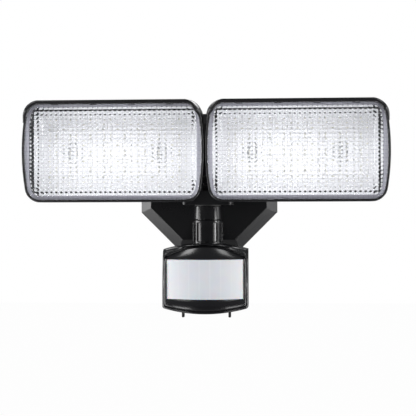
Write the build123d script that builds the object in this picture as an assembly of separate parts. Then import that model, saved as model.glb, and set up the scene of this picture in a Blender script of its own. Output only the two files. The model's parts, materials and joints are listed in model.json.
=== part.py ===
from build123d import *
import math
import os

# A motion sensor security light: two LED lamp heads and a motion sensor on an octagonal wall base.
# X runs to the right as seen from the front, Y into the wall and Z up.
# The origin is the centre of the face that meets the wall. Sizes are in millimetres and degrees.

# ---- Fits that several pieces share ----
running_play = 0.05  # radial play of a shaft that turns in its bore
seat_play = 0.2  # play around a piece dropped into its seat
side_play = 0.3  # play beside a face that moves
thrust_play = 0.15  # play along the axis of a clamped swivel
cut_margin = 1.0  # how far a cutting solid runs past the face that it cuts

# ---- Wall base: a bevelled octagonal shell ----
base_across = 121.5
base_corner_leg = 33.4
base_depth = 34.0
base_bevel = 9.5
base_wall = 2.5
gasket_thickness = 2.0
gasket_width = 6.0
gasket_margin = 0.5

# ---- Mounting strap, its bolt and the plug over the bolt ----
strap_length = 104.0
strap_width = 14.0
strap_thickness = 2.0
strap_corner_radius = 3.0
strap_slot_spacing = 82.0
strap_slot_length = 14.0
strap_slot_width = 4.8
centre_bolt_radius = 2.4
centre_bolt_head_radius = 4.4
centre_bolt_head_height = 2.2
centre_boss_radius = 8.4
centre_boss_depth = 12.0
plug_radius = 6.0
plug_recess_depth = 3.5
plug_stands_out = 1.2
plug_chamfer = 0.8

# ---- Small screws ----
small_screw_radius = 1.2
small_screw_head_radius = 2.3
small_screw_head_height = 1.5
small_screw_bite = 5.0
screw_slot_width = 0.8
screw_head_chamfer = 0.4
blind_end = 1.0  # solid left past the tip of a screw

# ---- Driver electronics inside the base ----
driver_width = 76.0
driver_height = 60.0
driver_corner_cut = 4.0
board_thickness = 1.6
driver_post_length = 3.5
driver_post_x = 33.0
driver_post_z = 24.0
driver_post_radius = 3.0
driver_screw_bite = 3.0
transformer_size = (17.0, 11.0, 18.0)
transformer_at = (-19.5, 15.0)
transformer_rounding = 1.5
coil_size = (12.0, 8.0, 12.0)
coil_at = (-21.0, -14.0)
coil_rounding = 4.0
rectifier_size = (12.0, 4.0, 8.0)
rectifier_at = (18.0, 21.0)
driver_can_rounding = 0.8
driver_cans = (
    {"x": 18.0, "z": 8.0, "radius": 5.0, "height": 10.0},
    {"x": 30.0, "z": 8.0, "radius": 5.0, "height": 10.0},
    {"x": -3.0, "z": 17.0, "radius": 4.0, "height": 9.0},
    {"x": -3.0, "z": -18.0, "radius": 3.0, "height": 7.0},
)
terminal_size = (22.0, 10.0, 10.0)
terminal_at = (20.0, -16.0)
terminal_pitch = 7.0
terminal_way_radius = 1.8
terminal_way_depth = 6.0
terminal_screw_radius = 1.6
terminal_screw_depth = 3.0

# ---- Pan joint of a head: knuckle between two ears of the base ----
arm_x = 38.0
arm_reach = 12.0  # from the base's front to the pan axis
ear_radius = 10.0
ear_thickness = 6.0
knuckle_z = 8.0
knuckle_radius = 8.0
knuckle_height = 19.4
bolt_radius = 2.95
bolt_head_across = 10.0
bolt_head_height = 4.0
nut_height = 5.0
bolt_tip = 1.2
hex_chamfer = 0.5

# ---- Tilt joint of a head: two lugs of the housing on the knuckle's tongue ----
tongue_length = 14.0  # from the pan axis to the tilt axis
tongue_radius = 8.0
tongue_width = 12.0
lug_width = 4.0
lug_length = 10.0  # from the tilt axis to the housing's back

# ---- Lamp head, in front view a rectangle with bowed short sides ----
head_width = 149.5
head_height = 83.2
head_gap = 1.0
head_bottom = -18.4
head_side_bow_radius = 191.0
head_corner_radius = 12.6
frame_wall = 1.8
frame_overlap = 1.4  # how far the frame reaches behind the housing's flange
frame_lip = 4.0
ledge_depth = 7.0
ledge_width = 2.8
hook_count = 4
hook_pitch = 31.5
hook_width = 5.6
hook_reach = 1.2
hood_reach = 9.0
hood_wall = 1.8
hood_side_height = 18.0
hood_corner_radius = 13.4
hood_side_inset = 1.1
hood_slope_start = 8.0
lens_thickness = 2.2
lens_rounding = 0.8
lens_gasket_thickness = 1.0
lens_gasket_width = 2.6

# ---- Rear housing of a head ----
flange_thickness = 2.6
housing_seal_width = 2.2
housing_seal_thickness = 1.0
tub_play = 1.4
tub_wall = 1.8
tub_side_depth = 13.0
tub_slope_depth = 5.0
tub_back_width = 124.0
tub_back_height = 54.0
tub_back_corner = 9.0
tub_slope_wall = 1.5  # of the sloping part, as seen from the front
tub_back_wall = 2.0
fin_thickness = 1.8
fin_depth = 2.5
fin_pitch = 9.0
fin_count = 14
fin_margin = 2.0
fin_end_slope = 2.0
fin_free_width = 27.0

# ---- Reflector, board and LEDs ----
reflector_thickness = 1.2
reflector_distance = 6.0  # from the housing's back to the reflector's back
reflector_wall = 1.0
reflector_rim_height = 7.3
reflector_hole = 4.3
led_board_width = 116.0
led_board_height = 50.0
led_board_corner = 4.0
led_columns = 8
led_rows = 4
led_pitch_x = 15.0
led_pitch_z = 14.0
led_size = 3.5
led_thickness = 1.6
led_corner_cut = 0.4
board_screw_offset = 37.0
board_screw_radius = 1.5
board_screw_head_radius = 3.2
board_screw_head_height = 1.8
board_screw_tip = 1.0  # left between the screw's tip and the housing's back
board_screw_hole_end = 0.6
standoff_radius = 3.6

# ---- Block under the base that carries the sensor's neck ----
block_width = 43.0
block_nose = 11.5  # from the neck's axis to the block's front
block_top = -8.5
block_height = 12.1
block_rounding = 4.0
ring_wall_gap = 3.0  # between the base's front and the lock ring
neck_top_radius = 11.9
neck_bottom_radius = 12.7
neck_cone_height = 11.0
neck_seal_thickness = 1.4
neck_seal_width = 3.0
spigot_radius = 8.0
stud_radius = 5.0
stud_length = 6.5
neck_nut_across = 15.0
neck_nut_height = 5.0
neck_tube_radius = 10.4
neck_tube_length = 13.0
neck_bore_radius = 4.5

# ---- Fluted lock ring and the swivel post that it clamps ----
ring_gap = 0.5
ring_height = 21.3
ring_radius = 13.0
ring_chamfer = 0.8
ring_lip = 4.8
flute_count = 6
flute_first_angle = 34.0
flute_pitch_angle = 24.0
flute_width = 3.7
flute_depth = 1.2
flute_margin = 2.6
flange_radius = 9.9
stem_radius = 6.0
stem_stands_out = 1.2
post_tongue_width = 8.0
post_tongue_length = 9.0
tilt_pin_radius = 2.45
tilt_pin_head_radius = 3.1
tilt_pin_head = 1.2

# ---- Sensor body: depths from the neck's axis and heights from the tilt pin ----
sensor_width = 70.4
sensor_split_reach = 34.0
sensor_front_reach = 54.0
sensor_front_bulge = 9.0
sensor_back_reach = 12.0
sensor_taper_reach = 8.0
sensor_slope_reach = 14.0
sensor_back_width = 48.0
sensor_top_rise = 7.4
sensor_crown = 5.2
sensor_height = 47.5
sensor_chin = 4.1
sensor_wall = 2.2
rear_top_rise = 7.0
rear_height = 47.0
slope_rise = 8.0
slope_drop = 5.0
rear_bevel_length = 5.0
rear_bevel_depth = 2.0
sensor_edge_rounding = 3.0
sensor_recess_radius = 17.0
yoke_rim = 2.2
yoke_thickness = 1.5
clevis_depth = 14.0
clevis_cheek = 5.0
clevis_drop = 6.5
sensor_tilt_down = 20.0

# ---- Window and sensor lens ----
window_width = 63.0
window_height = 32.5
window_top_band = 7.5
lens_set_back = 0.6
sensor_lens_skin = 1.0
sensor_lens_flange = 0.8
sensor_lens_lap_x = 1.2
sensor_lens_lap_z = 2.5

# ---- Sensor electronics ----
sensor_board_reach = 20.0
sensor_board_width = 52.0
sensor_board_height = 27.5
sensor_board_drop = 8.5
sensor_post_top_x = 20.0
sensor_post_bottom_x = 7.5
sensor_post_margin = 3.5
sensor_post_radius = 2.8
detector_radius = 4.6
detector_height = 4.4
detector_drop = 16.5
detector_rounding = 0.6
detector_brim_width = 0.7
detector_brim_height = 0.6
detector_window = (4.0, 3.0)
detector_window_depth = 0.4
cell_radius = 2.5
cell_height = 2.0
cell_chamfer = 0.3
cell_margin = 2.0
relay_size = (18.5, 15.0, 14.0)
relay_margin = 1.5
relay_rounding = 0.8
switch_width = 13.0
switch_depth = 6.0
switch_height = 7.5
lever_x = 19.5
lever_travel = 4.0
lever_width = 2.2
lever_depth = 3.2
lever_stands_out = 9.9
lever_socket = 3.0
lever_chamfer = 0.5
shell_screw_x = 30.0
shell_screw_margin_top = 7.4
shell_screw_margin_bottom = 6.1
shell_screw_radius = 1.4
shell_screw_head_radius = 2.4
shell_screw_head_height = 1.6
shell_boss_radius = 3.4
shell_screw_seat_reach = 12.0
shell_screw_end_depth = 14.0

# ---- Sizes that follow from the ones above ----
mitre = 2 - math.sqrt(2)  # how much shorter a 45 degree side gets for each unit of inset
base_half = base_across / 2
base_inner_front = -(base_depth - base_wall)
driver_board_front = base_inner_front + driver_post_length
driver_board_back = driver_board_front + board_thickness

pan_y = -(base_depth + arm_reach)
tilt_y = pan_y - tongue_length
pan_bore = bolt_radius + running_play

head_x = head_gap / 2 + head_width / 2
head_z = head_bottom + head_height / 2
half_width = head_width / 2
half_height = head_height / 2
tub_back = tilt_y - lug_length
tub_shoulder = tub_back - tub_slope_depth
flange_front = tub_shoulder - tub_side_depth
flange_back = flange_front + flange_thickness
frame_back = flange_back + frame_overlap
ledge_back = flange_front - housing_seal_thickness
ledge_front = ledge_back - ledge_depth
frame_front = ledge_front - frame_lip
hood_front = frame_front - hood_reach
flange_inset = frame_wall + seat_play
tub_inset = flange_inset + tub_play
cavity_inset = tub_inset + tub_wall
cavity_back = tub_back - tub_back_wall
lens_inset = frame_wall + seat_play
lens_back = ledge_front - lens_gasket_thickness
lens_front = lens_back - lens_thickness
led_board_front = cavity_back - board_thickness
reflector_back = tub_back - reflector_distance
reflector_front = reflector_back - reflector_thickness
reflector_rim = reflector_front - reflector_rim_height

neck_y = -(base_depth + ring_wall_gap + ring_radius)
block_front = neck_y - block_nose
block_bottom = block_top - block_height
spigot_top = block_top - seat_play
neck_bottom = block_bottom - neck_seal_thickness - neck_cone_height
neck_tube_bottom = neck_bottom - neck_tube_length
ring_top = neck_bottom - ring_gap
ring_bottom = ring_top - ring_height
stem_bottom = ring_bottom - stem_stands_out
sensor_tilt_z = stem_bottom - post_tongue_length
post_bore = stem_radius + running_play
pin_bore = tilt_pin_radius + running_play

sensor_half = sensor_width / 2
sensor_split = neck_y - sensor_split_reach
sensor_front = neck_y - sensor_front_reach
sensor_back = neck_y + sensor_back_reach
sensor_taper_start = neck_y - sensor_taper_reach
sensor_slope_end = neck_y - sensor_slope_reach
sensor_top = sensor_tilt_z + sensor_top_rise
sensor_bottom = sensor_top - sensor_height
rear_top = sensor_tilt_z + rear_top_rise
rear_bottom = rear_top - rear_height
yoke_top = rear_top - sensor_wall
yoke_bottom = yoke_top - yoke_thickness
clevis_bottom = sensor_tilt_z - clevis_drop
bulge_radius = (sensor_half**2 + sensor_front_bulge**2) / (2 * sensor_front_bulge)
bulge_centre_y = sensor_front + bulge_radius
window_top = sensor_top - window_top_band
window_bottom = window_top - window_height
sensor_board_back = neck_y - sensor_board_reach
sensor_board_front = sensor_board_back - board_thickness
sensor_board_top = sensor_tilt_z - sensor_board_drop
sensor_board_bottom = sensor_board_top - sensor_board_height
detector_z = sensor_tilt_z - detector_drop
lever_y = sensor_board_front - switch_depth / 2
lever_tip = sensor_bottom - lever_stands_out
lever_slot_half = lever_width / 2 + lever_travel + side_play
shell_screw_top = sensor_top - shell_screw_margin_top
shell_screw_bottom = sensor_bottom + shell_screw_margin_bottom
shell_screw_seat = neck_y - shell_screw_seat_reach
shell_screw_end = sensor_front + shell_screw_end_depth
tilt_sine = math.sin(math.radians(sensor_tilt_down))
tilt_cosine = math.cos(math.radians(sensor_tilt_down))
recess_height = (yoke_top - sensor_tilt_z + stem_radius * tilt_sine) / tilt_cosine
post_slot_half = stem_radius * tilt_cosine + recess_height * tilt_sine + side_play


# ---- Shapes that several pieces use ----
def block(x, y, z):
    """A box between two values along each axis."""
    size = [abs(b - a) for a, b in (x, y, z)]
    centre = [(a + b) / 2 for a, b in (x, y, z)]
    return Pos(*centre) * Box(*size)


def rod(axis, centre, radius, length):
    """A round bar along an axis, with the given centre."""
    turn = {"X": Rot(0, 90, 0), "Y": Rot(90, 0, 0), "Z": Rot(0, 0, 0)}[axis]
    return Pos(*centre) * turn * Cylinder(radius, length)


def rod_between(axis, x, y, z, radius, start, end):
    """A round bar along an axis from start to end; the coordinate along that axis is not used."""
    centre = {"X": x, "Y": y, "Z": z}
    centre[axis] = (start + end) / 2
    return rod(axis, (centre["X"], centre["Y"], centre["Z"]), radius, abs(end - start))


def hex_prism(axis, x, y, z, across, start, end):
    """A hexagonal prism along X or Z, for bolt heads and nuts."""
    centre = {"X": x, "Y": y, "Z": z}
    centre[axis] = (start + end) / 2
    turn = {"X": Rot(0, 90, 0), "Z": Rot(0, 0, 0)}[axis]
    prism = extrude(RegularPolygon(across / math.sqrt(3), 6), amount=abs(end - start) / 2, both=True)
    prism = chamfer(prism.edges().filter_by(Axis.Z, reverse=True), hex_chamfer)
    return Pos(centre["X"], centre["Y"], centre["Z"]) * turn * prism


def front_slab(face, y_back, y_front):
    """A front-view outline made solid between two depths."""
    placed = Plane.XZ.offset(-y_back) * face
    return extrude(placed, amount=y_back - y_front, dir=(0, -1, 0))


def plan_slab(face, z_low, z_high):
    """A plan outline made solid between two heights."""
    return extrude(Pos(0, 0, z_low) * face, amount=z_high - z_low, dir=(0, 0, 1))


def side_slab(points, half):
    """A side-view polygon of (y, z) points made solid across the width."""
    face = make_face(Polyline([(y, z) for y, z in points], close=True))
    placed = Plane.YZ.offset(-half) * face
    return extrude(placed, amount=2 * half, dir=(1, 0, 0))


def polygon(points):
    """A flat outline through points."""
    return make_face(Polyline(points, close=True))


def octagon(inset):
    """The base's front outline, pulled in all round by inset."""
    half = base_half - inset
    leg = base_corner_leg - inset * mitre
    corners = []
    for sx, sz in ((1, 1), (-1, 1), (-1, -1), (1, -1)):
        side = (sx * half, sz * (half - leg))
        end = (sx * (half - leg), sz * half)
        corners += [side, end] if sx * sz > 0 else [end, side]
    return polygon(corners)


def barrel(width, height, corner, bow=head_side_bow_radius):
    """The lamp head's outline: straight long sides, bowed short sides and round corners."""
    w = width / 2
    h = height / 2
    sag = bow - math.sqrt(bow**2 - h**2)
    edges = [
        Line((w - sag, -h), (-w + sag, -h)),
        ThreePointArc((-w + sag, -h), (-w, 0), (-w + sag, h)),
        Line((-w + sag, h), (w - sag, h)),
        ThreePointArc((w - sag, h), (w, 0), (w - sag, -h)),
    ]
    face = make_face(edges)
    return fillet(face.vertices(), corner)


def head_outline(inset):
    """The lamp head's outline, pulled in all round and put at the right head's centre."""
    face = barrel(
        head_width - 2 * inset,
        head_height - 2 * inset,
        head_corner_radius - inset,
        head_side_bow_radius - inset,
    )
    return Pos(head_x, head_z) * face


def head_slab(inset, y_back, y_front):
    """The lamp head's outline made solid between two depths."""
    return front_slab(head_outline(inset), y_back, y_front)


def head_ring(outer_inset, inner_inset, y_back, y_front):
    """A frame that follows the lamp head's outline."""
    outer = head_slab(outer_inset, y_back, y_front)
    return outer - head_slab(inner_inset, y_back + cut_margin, y_front - cut_margin)


def taper(wide_inset, y_wide, narrow_width, narrow_height, narrow_corner, y_narrow):
    """A sloping solid from the head's outline to a smaller one behind it."""
    wide = Plane.XZ.offset(-y_wide) * head_outline(wide_inset)
    small = Pos(head_x, head_z) * barrel(narrow_width, narrow_height, narrow_corner)
    narrow = Plane.XZ.offset(-y_narrow) * small
    return loft([wide.faces()[0], narrow.faces()[0]], ruled=True)


def screw(axis_x, axis_z, radius, head_radius, head_height, seat, tip, back):
    """A pan-head screw along Y: seat is under its head, tip is its end, back is +1 or -1."""
    shank = rod_between("Y", axis_x, 0, axis_z, radius, seat, tip)
    head = rod_between("Y", axis_x, 0, axis_z, head_radius, seat, seat + back * head_height)
    head = chamfer(head.faces().sort_by(Axis.Y)[-1 if back > 0 else 0].edges(), screw_head_chamfer)
    slot = block(
        (axis_x - head_radius, axis_x + head_radius),
        (seat + back * head_height, seat + back * head_height / 2),
        (axis_z - screw_slot_width / 2, axis_z + screw_slot_width / 2),
    )
    return shank + head - slot


parts = {}


# ---- Wall base ----
def wall_base():
    shell = front_slab(octagon(0), -gasket_thickness, -base_depth)
    shell = chamfer(shell.faces().sort_by(Axis.Y)[0].edges(), base_bevel)
    cavity = front_slab(octagon(base_wall), cut_margin, base_inner_front)
    inner_bevel = base_bevel - base_wall * mitre
    cavity = chamfer(cavity.faces().sort_by(Axis.Y)[0].edges(), inner_bevel)
    shell -= cavity
    inside = base_inner_front - base_wall / 2
    for side in (-1, 1):
        x = side * arm_x
        for up in (-1, 1):
            near = knuckle_z + up * (knuckle_height / 2 + side_play)
            far = near + up * ear_thickness
            shell += block((x - ear_radius, x + ear_radius), (inside, pan_y), (near, far))
            shell += rod_between("Z", x, pan_y, 0, ear_radius, near, far)
        reach = knuckle_height / 2 + side_play + ear_thickness + cut_margin
        shell -= rod_between("Z", x, pan_y, 0, pan_bore, knuckle_z - reach, knuckle_z + reach)
    carrier = block(
        (-block_width / 2, block_width / 2), (inside, block_front), (block_bottom, block_top)
    )
    carrier = fillet(carrier.faces().sort_by(Axis.Y)[0].edges().filter_by(Axis.Z), block_rounding)
    shell += carrier
    shell -= rod_between(
        "Z", 0, neck_y, 0, spigot_radius + seat_play, block_bottom - cut_margin, block_top + cut_margin
    )
    before = -base_depth - cut_margin
    boss_back = base_inner_front + centre_boss_depth - plug_recess_depth
    shell += rod_between("Y", 0, 0, 0, centre_boss_radius, inside, boss_back)
    shell -= rod_between("Y", 0, 0, 0, centre_bolt_radius + seat_play, before, boss_back + cut_margin)
    recess_floor = -base_depth + plug_recess_depth
    shell -= rod_between("Y", 0, 0, 0, plug_radius + seat_play, before, recess_floor)
    for x in (-driver_post_x, driver_post_x):
        for z in (-driver_post_z, driver_post_z):
            post = rod_between("Y", x, 0, z, driver_post_radius, inside, driver_board_front)
            hole = rod_between(
                "Y", x, 0, z, small_screw_radius + running_play, base_inner_front, driver_board_front
            )
            shell += post
            shell -= hole
    return shell


def wall_gasket():
    outer = front_slab(octagon(gasket_margin), 0, -gasket_thickness)
    inner = front_slab(octagon(gasket_margin + gasket_width), cut_margin, -gasket_thickness - cut_margin)
    return outer - inner


def mounting_strap():
    bar = block(
        (-strap_length / 2, strap_length / 2), (-strap_thickness, 0), (-strap_width / 2, strap_width / 2)
    )
    bar = fillet(bar.edges().filter_by(Axis.Y), strap_corner_radius)
    through = -strap_thickness - cut_margin
    slot = front_slab(SlotOverall(strap_slot_length, strap_slot_width), cut_margin, through)
    for side in (-1, 1):
        bar -= Pos(side * strap_slot_spacing / 2, 0, 0) * slot
    return bar - rod_between("Y", 0, 0, 0, centre_bolt_radius + running_play, through, cut_margin)


def centre_bolt():
    seat = -base_depth + plug_recess_depth
    return screw(
        0, 0, centre_bolt_radius, centre_bolt_head_radius, centre_bolt_head_height, seat, 0, -1
    )


def bolt_plug():
    inner = -base_depth + plug_recess_depth - centre_bolt_head_height - seat_play / 2
    plug = rod_between("Y", 0, 0, 0, plug_radius, inner, -base_depth - plug_stands_out)
    return chamfer(plug.faces().sort_by(Axis.Y)[0].edges(), plug_chamfer)


def driver_board():
    board = block(
        (-driver_width / 2, driver_width / 2),
        (driver_board_back, driver_board_front),
        (-driver_height / 2, driver_height / 2),
    )
    board = chamfer(board.edges().filter_by(Axis.Y), driver_corner_cut)
    board -= rod_between("Y", 0, 0, 0, centre_boss_radius + seat_play, -base_depth, 0)
    for x in (-driver_post_x, driver_post_x):
        for z in (-driver_post_z, driver_post_z):
            board -= rod_between("Y", x, 0, z, small_screw_radius + seat_play, -base_depth, 0)
    return board


def driver_board_screws():
    screws = []
    for x in (-driver_post_x, driver_post_x):
        for z in (-driver_post_z, driver_post_z):
            screws.append(
                screw(
                    x,
                    z,
                    small_screw_radius,
                    small_screw_head_radius,
                    small_screw_head_height,
                    driver_board_back,
                    driver_board_front - driver_screw_bite,
                    1,
                )
            )
    return Compound(screws)


def on_board(size, at):
    """A box of width, depth and height whose front lies on the driver board's back."""
    width, depth, height = size
    x, z = at
    return block(
        (x - width / 2, x + width / 2),
        (driver_board_back, driver_board_back + depth),
        (z - height / 2, z + height / 2),
    )


def driver_parts():
    """Transformer, filter coil, rectifier and capacitors on the board's back."""
    transformer = on_board(transformer_size, transformer_at)
    transformer = fillet(transformer.edges().filter_by(Axis.Z), transformer_rounding)
    coil = on_board(coil_size, coil_at)
    coil = fillet(coil.edges().filter_by(Axis.Y), coil_rounding)
    pieces = [transformer, coil, on_board(rectifier_size, rectifier_at)]
    for can in driver_cans:
        top = driver_board_back + can["height"]
        solid = rod_between("Y", can["x"], 0, can["z"], can["radius"], driver_board_back, top)
        pieces.append(fillet(solid.faces().sort_by(Axis.Y)[-1].edges(), driver_can_rounding))
    return Compound(pieces)


def terminal_block():
    """A box with three wire ways from below and a clamping screw's well over each."""
    body = on_board(terminal_size, terminal_at)
    x, z = terminal_at
    y = driver_board_back + terminal_size[1] / 2
    back = driver_board_back + terminal_size[1]
    low = z - terminal_size[2] / 2
    for n in (-1, 0, 1):
        way_x = x + n * terminal_pitch
        body -= rod_between("Z", way_x, y, 0, terminal_way_radius, low, low + terminal_way_depth)
        body -= rod_between(
            "Y", way_x, 0, z, terminal_screw_radius, back - terminal_screw_depth, back + cut_margin
        )
    return body


parts["wall_base"] = wall_base()
parts["wall_gasket"] = wall_gasket()
parts["mounting_strap"] = mounting_strap()
parts["centre_bolt"] = centre_bolt()
parts["bolt_plug"] = bolt_plug()
parts["driver_board"] = driver_board()
parts["driver_board_screws"] = driver_board_screws()
parts["driver_parts"] = driver_parts()
parts["terminal_block"] = terminal_block()


# ---- Arm of the right head: pan bolt and nut, knuckle, tilt bolt and nut ----
def pan_bolt():
    top = knuckle_z + knuckle_height / 2 + side_play + ear_thickness
    nut_end = knuckle_z - knuckle_height / 2 - side_play - ear_thickness - nut_height
    shank = rod_between("Z", arm_x, pan_y, 0, bolt_radius, top, nut_end - bolt_tip)
    return shank + hex_prism("Z", arm_x, pan_y, 0, bolt_head_across, top, top + bolt_head_height)


def pan_nut():
    top = knuckle_z - knuckle_height / 2 - side_play - ear_thickness
    nut = hex_prism("Z", arm_x, pan_y, 0, bolt_head_across, top - nut_height, top)
    below = top - nut_height - cut_margin
    return nut - rod_between("Z", arm_x, pan_y, 0, pan_bore, below, top + cut_margin)


def knuckle():
    barrel_body = rod("Z", (arm_x, pan_y, knuckle_z), knuckle_radius, knuckle_height)
    half = tongue_width / 2
    tongue = block(
        (arm_x - half, arm_x + half),
        (pan_y, tilt_y),
        (knuckle_z - tongue_radius, knuckle_z + tongue_radius),
    )
    tongue += rod("X", (arm_x, tilt_y, knuckle_z), tongue_radius, tongue_width)
    body = barrel_body + tongue
    body -= rod("Z", (arm_x, pan_y, knuckle_z), pan_bore, knuckle_height + 2 * cut_margin)
    return body - rod("X", (arm_x, tilt_y, knuckle_z), pan_bore, tongue_width + 2 * cut_margin)


def tilt_reach():
    """Distance from the arm's middle to the outer face of a lug."""
    return tongue_width / 2 + side_play + lug_width


def tilt_bolt():
    inner = arm_x - tilt_reach() - nut_height - bolt_tip
    outer = arm_x + tilt_reach()
    shank = rod_between("X", 0, tilt_y, knuckle_z, bolt_radius, inner, outer)
    head = hex_prism("X", 0, tilt_y, knuckle_z, bolt_head_across, outer, outer + bolt_head_height)
    return shank + head


def tilt_nut():
    outer = arm_x - tilt_reach()
    nut = hex_prism("X", 0, tilt_y, knuckle_z, bolt_head_across, outer - nut_height, outer)
    inner = outer - nut_height - cut_margin
    return nut - rod_between("X", 0, tilt_y, knuckle_z, pan_bore, inner, outer + cut_margin)


# ---- Right lamp head ----
def rear_housing():
    tub = head_slab(tub_inset, tub_shoulder, flange_front)
    tub += taper(tub_inset, tub_shoulder, tub_back_width, tub_back_height, tub_back_corner, tub_back)
    tub += head_slab(flange_inset, flange_back, flange_front)
    inner_shoulder = tub_shoulder - tub_back_wall / 2
    cavity = head_slab(cavity_inset, inner_shoulder, flange_front - cut_margin)
    cavity += taper(
        cavity_inset,
        inner_shoulder,
        tub_back_width - 2 * tub_slope_wall,
        tub_back_height - 2 * tub_slope_wall,
        tub_back_corner - tub_slope_wall,
        cavity_back,
    )
    tub -= cavity
    for n in range(fin_count):
        offset = (n - (fin_count - 1) / 2) * fin_pitch
        x = head_x + offset
        if abs(x - arm_x) > fin_free_width / 2:
            fin = block(
                (x - fin_thickness / 2, x + fin_thickness / 2),
                (tub_back - tub_back_wall / 2, tub_back + fin_depth),
                (
                    head_z - tub_back_height / 2 + fin_margin,
                    head_z + tub_back_height / 2 - fin_margin,
                ),
            )
            tub += chamfer(fin.faces().sort_by(Axis.Y)[-1].edges().filter_by(Axis.X), fin_end_slope)
    for side in (-1, 1):
        near = arm_x + side * (tongue_width / 2 + side_play)
        far = arm_x + side * tilt_reach()
        lug = block(
            (near, far),
            (tub_back - tub_back_wall / 2, tilt_y),
            (knuckle_z - tongue_radius, knuckle_z + tongue_radius),
        )
        lug += rod_between("X", 0, tilt_y, knuckle_z, tongue_radius, near, far)
        tub += lug
    reach = tilt_reach() + cut_margin
    tub -= rod_between("X", 0, tilt_y, knuckle_z, pan_bore, arm_x - reach, arm_x + reach)
    for side in (-1, 1):
        tub -= rod_between(
            "Y",
            head_x + side * board_screw_offset,
            0,
            head_z,
            board_screw_radius + running_play,
            cavity_back,
            tub_back - board_screw_hole_end,
        )
    return tub


def housing_seal():
    return head_ring(flange_inset, flange_inset + housing_seal_width, flange_front, ledge_back)


def hook_places():
    """Centres of the snap hooks along a long side."""
    return [head_x + (n - (hook_count - 1) / 2) * hook_pitch for n in range(hook_count)]


def front_frame():
    ring = head_ring(0, frame_wall, frame_back, frame_front)
    ring += head_ring(frame_wall / 2, frame_wall + ledge_width, ledge_back, ledge_front)
    top = head_bottom + head_height
    hood_low = top - hood_side_height
    hood_half = half_width - hood_side_inset
    outer = block(
        (head_x - hood_half, head_x + hood_half),
        (frame_back, hood_front),
        (hood_low - hood_side_height, top),
    )
    outer = fillet(outer.edges().filter_by(Axis.Y).sort_by(Axis.Z)[-2:], hood_corner_radius)
    inner = block(
        (head_x - hood_half + hood_wall, head_x + hood_half - hood_wall),
        (frame_back + cut_margin, hood_front - cut_margin),
        (hood_low - hood_side_height - cut_margin, top - hood_wall),
    )
    inner_corner = hood_corner_radius - hood_wall
    inner = fillet(inner.edges().filter_by(Axis.Y).sort_by(Axis.Z)[-2:], inner_corner)
    profile = side_slab(
        [
            (frame_back, top + cut_margin),
            (hood_front, top + cut_margin),
            (hood_front, top - hood_slope_start),
            (frame_front, hood_low),
            (frame_back, hood_low),
        ],
        2 * head_width,
    )
    hood = (outer - inner) & profile
    behind = head_slab(flange_inset, frame_back + cut_margin, ledge_back)
    frame = ring + hood - behind
    for x in hook_places():
        for up in (-1, 1):
            edge = head_z + up * (half_height - frame_wall / 2)
            tip = head_z + up * (half_height - flange_inset - hook_reach)
            frame += block(
                (x - hook_width / 2, x + hook_width / 2),
                (frame_back, flange_back + seat_play / 4),
                (tip, edge),
            )
    return frame


def lens():
    plate = head_slab(lens_inset, lens_back, lens_front)
    return fillet(plate.faces().sort_by(Axis.Y)[0].edges(), lens_rounding)


def lens_gasket():
    return head_ring(lens_inset, lens_inset + lens_gasket_width, ledge_front, lens_back)


def led_places():
    """Centres of the LEDs in the front view."""
    return [
        (
            head_x + (column - (led_columns - 1) / 2) * led_pitch_x,
            head_z + (row - (led_rows - 1) / 2) * led_pitch_z,
        )
        for column in range(led_columns)
        for row in range(led_rows)
    ]


def reflector():
    outer = cavity_inset + side_play
    sheet = head_slab(outer, reflector_back, reflector_front)
    sheet += head_ring(outer, outer + reflector_wall, reflector_back, reflector_rim)
    behind = reflector_back + cut_margin
    before = reflector_front - cut_margin
    half = reflector_hole / 2
    for x, z in led_places():
        sheet -= block((x - half, x + half), (behind, before), (z - half, z + half))
    for side in (-1, 1):
        x = head_x + side * board_screw_offset
        middle = (reflector_back + reflector_front) / 2
        sheet += rod_between("Y", x, 0, head_z, standoff_radius, led_board_front, middle)
        sheet -= rod_between(
            "Y", x, 0, head_z, board_screw_radius + seat_play, led_board_front + cut_margin, before
        )
    return sheet


def led_board():
    board = block(
        (head_x - led_board_width / 2, head_x + led_board_width / 2),
        (cavity_back, led_board_front),
        (head_z - led_board_height / 2, head_z + led_board_height / 2),
    )
    board = fillet(board.edges().filter_by(Axis.Y), led_board_corner)
    for side in (-1, 1):
        x = head_x + side * board_screw_offset
        board -= rod_between(
            "Y", x, 0, head_z, board_screw_radius + seat_play, tub_back, reflector_back
        )
    return board


def leds():
    half = led_size / 2
    chips = []
    for x, z in led_places():
        chip = block(
            (x - half, x + half), (led_board_front, led_board_front - led_thickness), (z - half, z + half)
        )
        chips.append(chamfer(chip.edges().filter_by(Axis.Y), led_corner_cut))
    return Compound(chips)


def board_screws():
    tip = tub_back - board_screw_tip
    return Compound(
        [
            screw(
                head_x + side * board_screw_offset,
                head_z,
                board_screw_radius,
                board_screw_head_radius,
                board_screw_head_height,
                reflector_front,
                tip,
                -1,
            )
            for side in (-1, 1)
        ]
    )


right_side = {
    "pan_bolt": pan_bolt(),
    "pan_nut": pan_nut(),
    "knuckle": knuckle(),
    "tilt_bolt": tilt_bolt(),
    "tilt_nut": tilt_nut(),
    "rear_housing": rear_housing(),
    "housing_seal": housing_seal(),
    "front_frame": front_frame(),
    "lens": lens(),
    "lens_gasket": lens_gasket(),
    "reflector": reflector(),
    "led_board": led_board(),
    "leds": leds(),
    "board_screws": board_screws(),
}
for name, shape in right_side.items():
    parts["right_" + name] = shape
    parts["left_" + name] = mirror(shape, about=Plane.YZ)


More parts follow.
